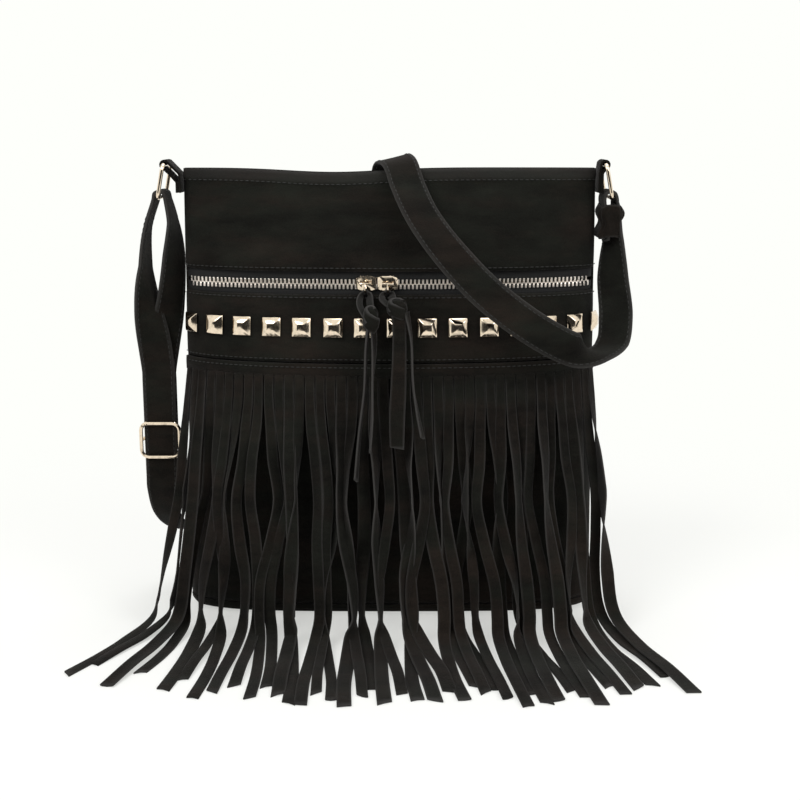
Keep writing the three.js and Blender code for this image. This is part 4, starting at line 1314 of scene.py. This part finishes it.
def strap_stations():
    """The strap's route from its sewn end at the slide to its loop round the right ring."""
    left = ring_bars(-1, LEFT_RING_OUT)
    right = ring_bars(1, RIGHT_RING_OUT)
    wrap = RING_WIRE / 2 + RING_PLAY + STRAP_THICKNESS / 2
    sx, sy, sz = SLIDE_CENTRE
    half_bar = SLIDE_WIRE * SLIDE_BAR_SHARE
    front = sy + SLIDE_WIRE / 2 + SLIDE_PLAY + STRAP_THICKNESS / 2
    bar = front + STRAP_THICKNESS / 2 + SLIDE_PLAY + half_bar
    end = bar + half_bar + SLIDE_PLAY + STRAP_THICKNESS / 2
    ll, lz, rl, rz = left[1], left[3], right[1], right[3]
    return [
        (sx, end, sz - 8, 0), (sx, end, 156, 0), (sx, end, 162, 0), (-152.5, end + 0.6, 180, 16),
        (-147, 1.6, lz - 70, 42), (-143.6, 1.5, lz - 38, 60), (-143.4, 0.5, lz - 16, 84),
        (ll + wrap, 0, lz - 1.5, 90), (ll + wrap * 0.72, 0, lz + wrap * 0.72, 90), (ll, 0, lz + wrap, 90),
        (ll - wrap * 0.72, 0, lz + wrap * 0.72, 90), (ll - wrap, 0, lz - 1.5, 90),
        (-160, -0.5, lz - 20, 90), (-162, -3, lz - 46, 80), (-160.5, -8, lz - 72, 48),
        (-157, front - 1, 180, 14), (sx, front, 163, 0), (sx, front, 156, 0), (sx, front, 97, 0),
        (sx, front, 90, 0), (-156.5, front + 4, 78, -10), (-155, 8, 57, -24), (-144, 32, 40, -22),
        (-118, 55, 42, -10), (-78, 62, 78, 8), (-44, 62, 135, 12), (-22, 57, 195, 10), (-9, 44, 250, 6),
        (-3, 26, 284, 4), (0, 13, 299.5, 3, 12), (3, 0, 302.5, 2, 14), (7, -13, 299.5, 2, 10),
        (12, -26, 286, 2, 3), (21, -42, 268, 2), (36, -55, 248, 0), (60, -64, 223, 0),
        (86, -66, 203, 0, 4), (112, -62, 188, 12, 8),
        (132, -51, 182, 82, 7), (143.5, -38, 187, 138, 12), (147, -27, rz - 75, 158, 6),
        (146, -15, rz - 50, 142), (147, -5, rz - 26, 112),
        (rl + wrap + 0.4, 0, rz - 4, 90), (rl + wrap, 0, rz, 90), (rl + wrap * 0.7, 0, rz + wrap * 0.7, 90),
        (rl, 0, rz + wrap, 90), (rl - wrap * 0.7, 0, rz + wrap * 0.7, 90), (rl - wrap, 0, rz - 1, 90),
        (142.6, -0.5, rz - 16, 90), (142.9, -2.5, rz - 29, 89),
    ]


class BAG_OT_strap(bpy.types.Operator):
    """Lays the shoulder strap along its route and sews its edges"""
    bl_idname = "bag.strap"
    bl_label = "Shoulder strap"

    def execute(self, context):
        width = settings().strap_width / MM
        frames = curve_frames(strap_stations(), STRAP_STEPS)
        points, edge, _ = strip_points(frames, lambda share: width, STRAP_THICKNESS, STRAP_CUP)
        faces = tube_faces(len(frames), len(STRIP_SECTION))
        masks = {"edge": [value * STRAP_EDGE for value in edge], "flesh": [0.0] * len(points)}
        piece = mesh_piece("suede_strap", points, faces, MATERIALS["suede"], masks=masks)
        settle(piece, BODY, "suede", "shoulder_strap")
        runs = []
        rings = (ring_bars(-1, LEFT_RING_OUT), ring_bars(1, RIGHT_RING_OUT))
        bars = [Vector((ring[1], 0, ring[3])) for ring in rings]
        for across in (-1, 1):
            for face in (-1, 1):
                run = []
                for at, _, wide, flat in frames:
                    if any(math.hypot(at.x - bar.x, at.z - bar.z) < RING_STITCH_GAP for bar in bars):
                        if len(run) > 1:
                            runs.append(run)
                        run = []
                        continue
                    lift = flat * (face * (STRAP_THICKNESS / 2 - 0.05))
                    run.append((at + wide * (across * (width / 2 - STRAP_SEAM)) + lift, flat * face))
                runs.append(run)
        stitches = stitch_mesh("strap_stitches", runs, STRAP_THREAD)
        settle(stitches, BODY, "suede")
        return {"FINISHED"}


SLEEVE_SIDES = 48
SLEEVE_LEVELS = 14
SLEEVE_SIZE = (15.0, 27.0)
SLEEVE_THICKNESS = 1.2
# How far its low and its high end are below the ring's low bar
SLEEVE_REACH = (26, 5)
# Below 1, this power squares the sleeve's oval section
SLEEVE_POWER = 0.6


def gathered_sleeve(name, centre, low, high):
    """A closed band of suede gathered tightly round both layers of the strap."""
    points, edge = [], []
    half_wide, half_thick = (size / 2 for size in SLEEVE_SIZE)
    levels = spread(SLEEVE_LEVELS, 0, 1)
    outer = [(share, 0.0) for share in levels]
    inner = [(share, SLEEVE_THICKNESS) for share in reversed(levels)]
    for share, inset in outer + inner:
        z = low + (high - low) * share
        waist = 1 + 0.16 * math.sin(3 * math.pi * share + 0.6) * (1 if inset == 0 else 0.4)
        for k in range(SLEEVE_SIDES):
            angle = 2 * math.pi * k / SLEEVE_SIDES
            fold = 1 + (0.05 * math.sin(7 * angle + 5 * share) + 0.03 * math.sin(13 * angle - 9 * share))
            cosine, sine = math.cos(angle), math.sin(angle)
            across = (half_wide * waist * fold - inset) * math.copysign(abs(cosine) ** SLEEVE_POWER, cosine)
            deep = (half_thick * fold - inset) * math.copysign(abs(sine) ** SLEEVE_POWER, sine)
            points.append(Vector((centre[0] + across, centre[1] + deep, z + 0.8 * math.sin(3 * angle))))
            edge.append(0.5 if share in (0, 1) else 0.0)
    faces = tube_faces(len(outer) + len(inner), SLEEVE_SIDES, closed=True)
    return mesh_piece(name, points, faces, MATERIALS["suede"], masks={"edge": edge})


class BAG_OT_sleeve(bpy.types.Operator):
    """Gathers the sewn end of the strap under the right ring"""
    bl_idname = "bag.sleeve"
    bl_label = "Strap end"

    def execute(self, context):
        low_x, low_z = ring_bars(1, RIGHT_RING_OUT)[1::2]
        ends = (low_z - below for below in SLEEVE_REACH)
        piece = gathered_sleeve("strap_end_gather", (low_x + 0.8, -1.0), *ends)
        settle(piece, BODY, "suede")
        return {"FINISHED"}


class BAG_OT_top_zip(bpy.types.Operator):
    """Finishes the zip that closes the top"""
    bl_idname = "bag.top_zip"
    bl_label = "Top zip"

    def execute(self, context):
        dress("top_zip_front_tape", "tape")
        dress("top_zip_back_tape", "tape")
        bevelled_copy("top_zip_slider", "top_slider_body", EDGE_ROUNDING, "top_slider")
        bevelled_copy("top_zip_pull", "top_pull_tongue", EDGE_ROUNDING, "top_pull")
        return {"FINISHED"}


# Stage: plain floor, soft light and the photograph's camera

CAMERA_HEIGHT = 0.322
CAMERA_DISTANCE = 0.850
CAMERA_ASIDE = 0.0068
CAMERA_PITCH = 12
FOCAL_PIXELS = 1277
PHOTO_PIXELS = 800
SENSOR_WIDTH = 36
BACKGROUND = (0.99, 1.0, 0.965)
AMBIENT = 0.55
# Name, place, what it is turned to, size and power
LIGHTS = (
    ("key", (-0.9, -1.1, 1.5), (0, 0, 0.15), 1.0, 16),
    ("fill", (1.2, -1.0, 1.0), (0, 0, 0.15), 1.0, 9),
    ("top", (0.1, 0.3, 1.7), (0, 0, 0.1), 1.2, 10),
)
CARD_PLACE = (0, -1.15, 0.27)
CARD_SIZE = (2.9, 0.51)


def soft_light(name, place, target, size, power):
    """A round soft light turned towards a place."""
    data = bpy.data.lights.new(name, "AREA")
    data.shape = "DISK"
    data.size = size
    data.energy = power
    lamp = bpy.data.objects.new(name, data)
    bpy.context.scene.collection.objects.link(lamp)
    lamp.location = place
    lamp.rotation_euler = (Vector(target) - Vector(place)).to_track_quat("-Z", "Y").to_euler()


def white_where_seen(tree, other, fade=None):
    """Plain white to the camera, to mirrors and through glass, and the other shader to all other rays."""
    rays = tree.nodes.new("ShaderNodeLightPath").outputs
    seen = math_node(tree, "MAXIMUM", rays["Is Camera Ray"], rays["Is Glossy Ray"])
    seen = math_node(tree, "MAXIMUM", seen, rays["Is Transmission Ray"])
    if fade:
        seen = math_node(tree, "MULTIPLY", seen, fade)
    white = add_node(tree, "ShaderNodeEmission" if fade else "ShaderNodeBackground", {"Color": BACKGROUND})
    shaders = {"Fac": seen, 1: other.outputs[0], 2: white.outputs[0]}
    return add_node(tree, "ShaderNodeMixShader", shaders).outputs[0]


def floor_material():
    """Pale floor that keeps the object's shadow near it and runs into the white background."""
    material = bpy.data.materials.new("pale_floor")
    material.use_nodes = True
    tree = material.node_tree
    tree.nodes.clear()
    distance = add_node(tree, "ShaderNodeVectorMath", {0: object_place(tree)})
    distance.operation = "LENGTH"
    limits = {"From Min": 0.22, "From Max": 0.62, "To Min": 0.5}
    fade = range_node(tree, distance.outputs["Value"], limits, "SMOOTHSTEP")
    diffuse = add_node(tree, "ShaderNodeBsdfDiffuse", {"Color": (0.9, 0.9, 0.88)})
    add_node(tree, "ShaderNodeOutputMaterial", {"Surface": white_where_seen(tree, diffuse, fade)})
    return material


def white_world():
    world = bpy.data.worlds.new("Studio")
    bpy.context.scene.world = world
    world.use_nodes = True
    tree = world.node_tree
    tree.nodes.clear()
    ambient = add_node(tree, "ShaderNodeBackground", {"Color": (1, 1, 1), "Strength": AMBIENT})
    add_node(tree, "ShaderNodeOutputWorld", {"Surface": white_where_seen(tree, ambient)})


def dark_card():
    """A black card low behind the camera, which the flat metal tops mirror."""
    bpy.ops.mesh.primitive_plane_add(size=1, location=CARD_PLACE, rotation=(QUARTER_TURN, 0, 0))
    card = bpy.context.active_object
    card.name = "dark_card"
    card.scale = (*CARD_SIZE, 1)
    material, tree, shader = plain_material("black_card")
    feed(tree, shader, {"Base Color": (0.01, 0.01, 0.01), "Roughness": 0.9})
    card.data.materials.append(material)
    card.visible_camera = False
    card.visible_diffuse = False
    card.visible_shadow = False


class BAG_OT_stage(bpy.types.Operator):
    """Sets the floor, the lights and the photograph's camera"""
    bl_idname = "bag.stage"
    bl_label = "Stage"

    def execute(self, context):
        scene = context.scene
        scene.view_settings.view_transform = "Standard"
        bpy.ops.mesh.primitive_plane_add(size=8, location=(0, 0, 0))
        floor = context.active_object
        floor.name = "floor"
        floor.data.materials.append(floor_material())
        dark_card()
        white_world()
        for light in LIGHTS:
            soft_light(*light)
        data = bpy.data.cameras.new("camera")
        data.sensor_width = SENSOR_WIDTH
        data.sensor_fit = "HORIZONTAL"
        data.lens = SENSOR_WIDTH * FOCAL_PIXELS / PHOTO_PIXELS
        camera = bpy.data.objects.new("camera", data)
        scene.collection.objects.link(camera)
        camera.location = (CAMERA_ASIDE, -CAMERA_DISTANCE, CAMERA_HEIGHT)
        camera.rotation_euler = (math.radians(90 - CAMERA_PITCH), 0, 0)
        scene.camera = camera
        return {"FINISHED"}


OPERATORS = (
    BAG_OT_stage, BAG_OT_panels, BAG_OT_stitches, BAG_OT_front_zip, BAG_OT_fittings, BAG_OT_tassels,
    BAG_OT_studs, BAG_OT_fringe, BAG_OT_strap, BAG_OT_sleeve, BAG_OT_top_zip,
)


class BAG_PT_sidebar(bpy.types.Panel):
    bl_idname = "BAG_PT_sidebar"
    bl_label = "Fringed suede bag"
    bl_space_type = "VIEW_3D"
    bl_region_type = "UI"
    bl_category = "Bag"

    def draw(self, context):
        for name in BagSettings.__annotations__:
            self.layout.prop(context.scene.bag_settings, name)
        for operator in OPERATORS:
            self.layout.operator(operator.bl_idname)


CLASSES = (BagSettings, *OPERATORS, BAG_PT_sidebar)


def register():
    for made in CLASSES:
        bpy.utils.register_class(made)
    bpy.types.Scene.bag_settings = PointerProperty(type=BagSettings)


def unregister():
    del bpy.types.Scene.bag_settings
    for made in reversed(CLASSES):
        bpy.utils.unregister_class(made)


def main():
    register()
    make_materials()
    bpy.ops.bag.stage()
    bpy.ops.bag.panels()
    bpy.ops.bag.stitches()
    bpy.ops.bag.front_zip()
    bpy.ops.bag.fittings()
    bpy.ops.bag.tassels()
    bpy.ops.bag.studs()
    bpy.ops.bag.fringe()
    bpy.ops.bag.strap()
    bpy.ops.bag.sleeve()
    bpy.ops.bag.top_zip()


if __name__ == "__main__":
    main()
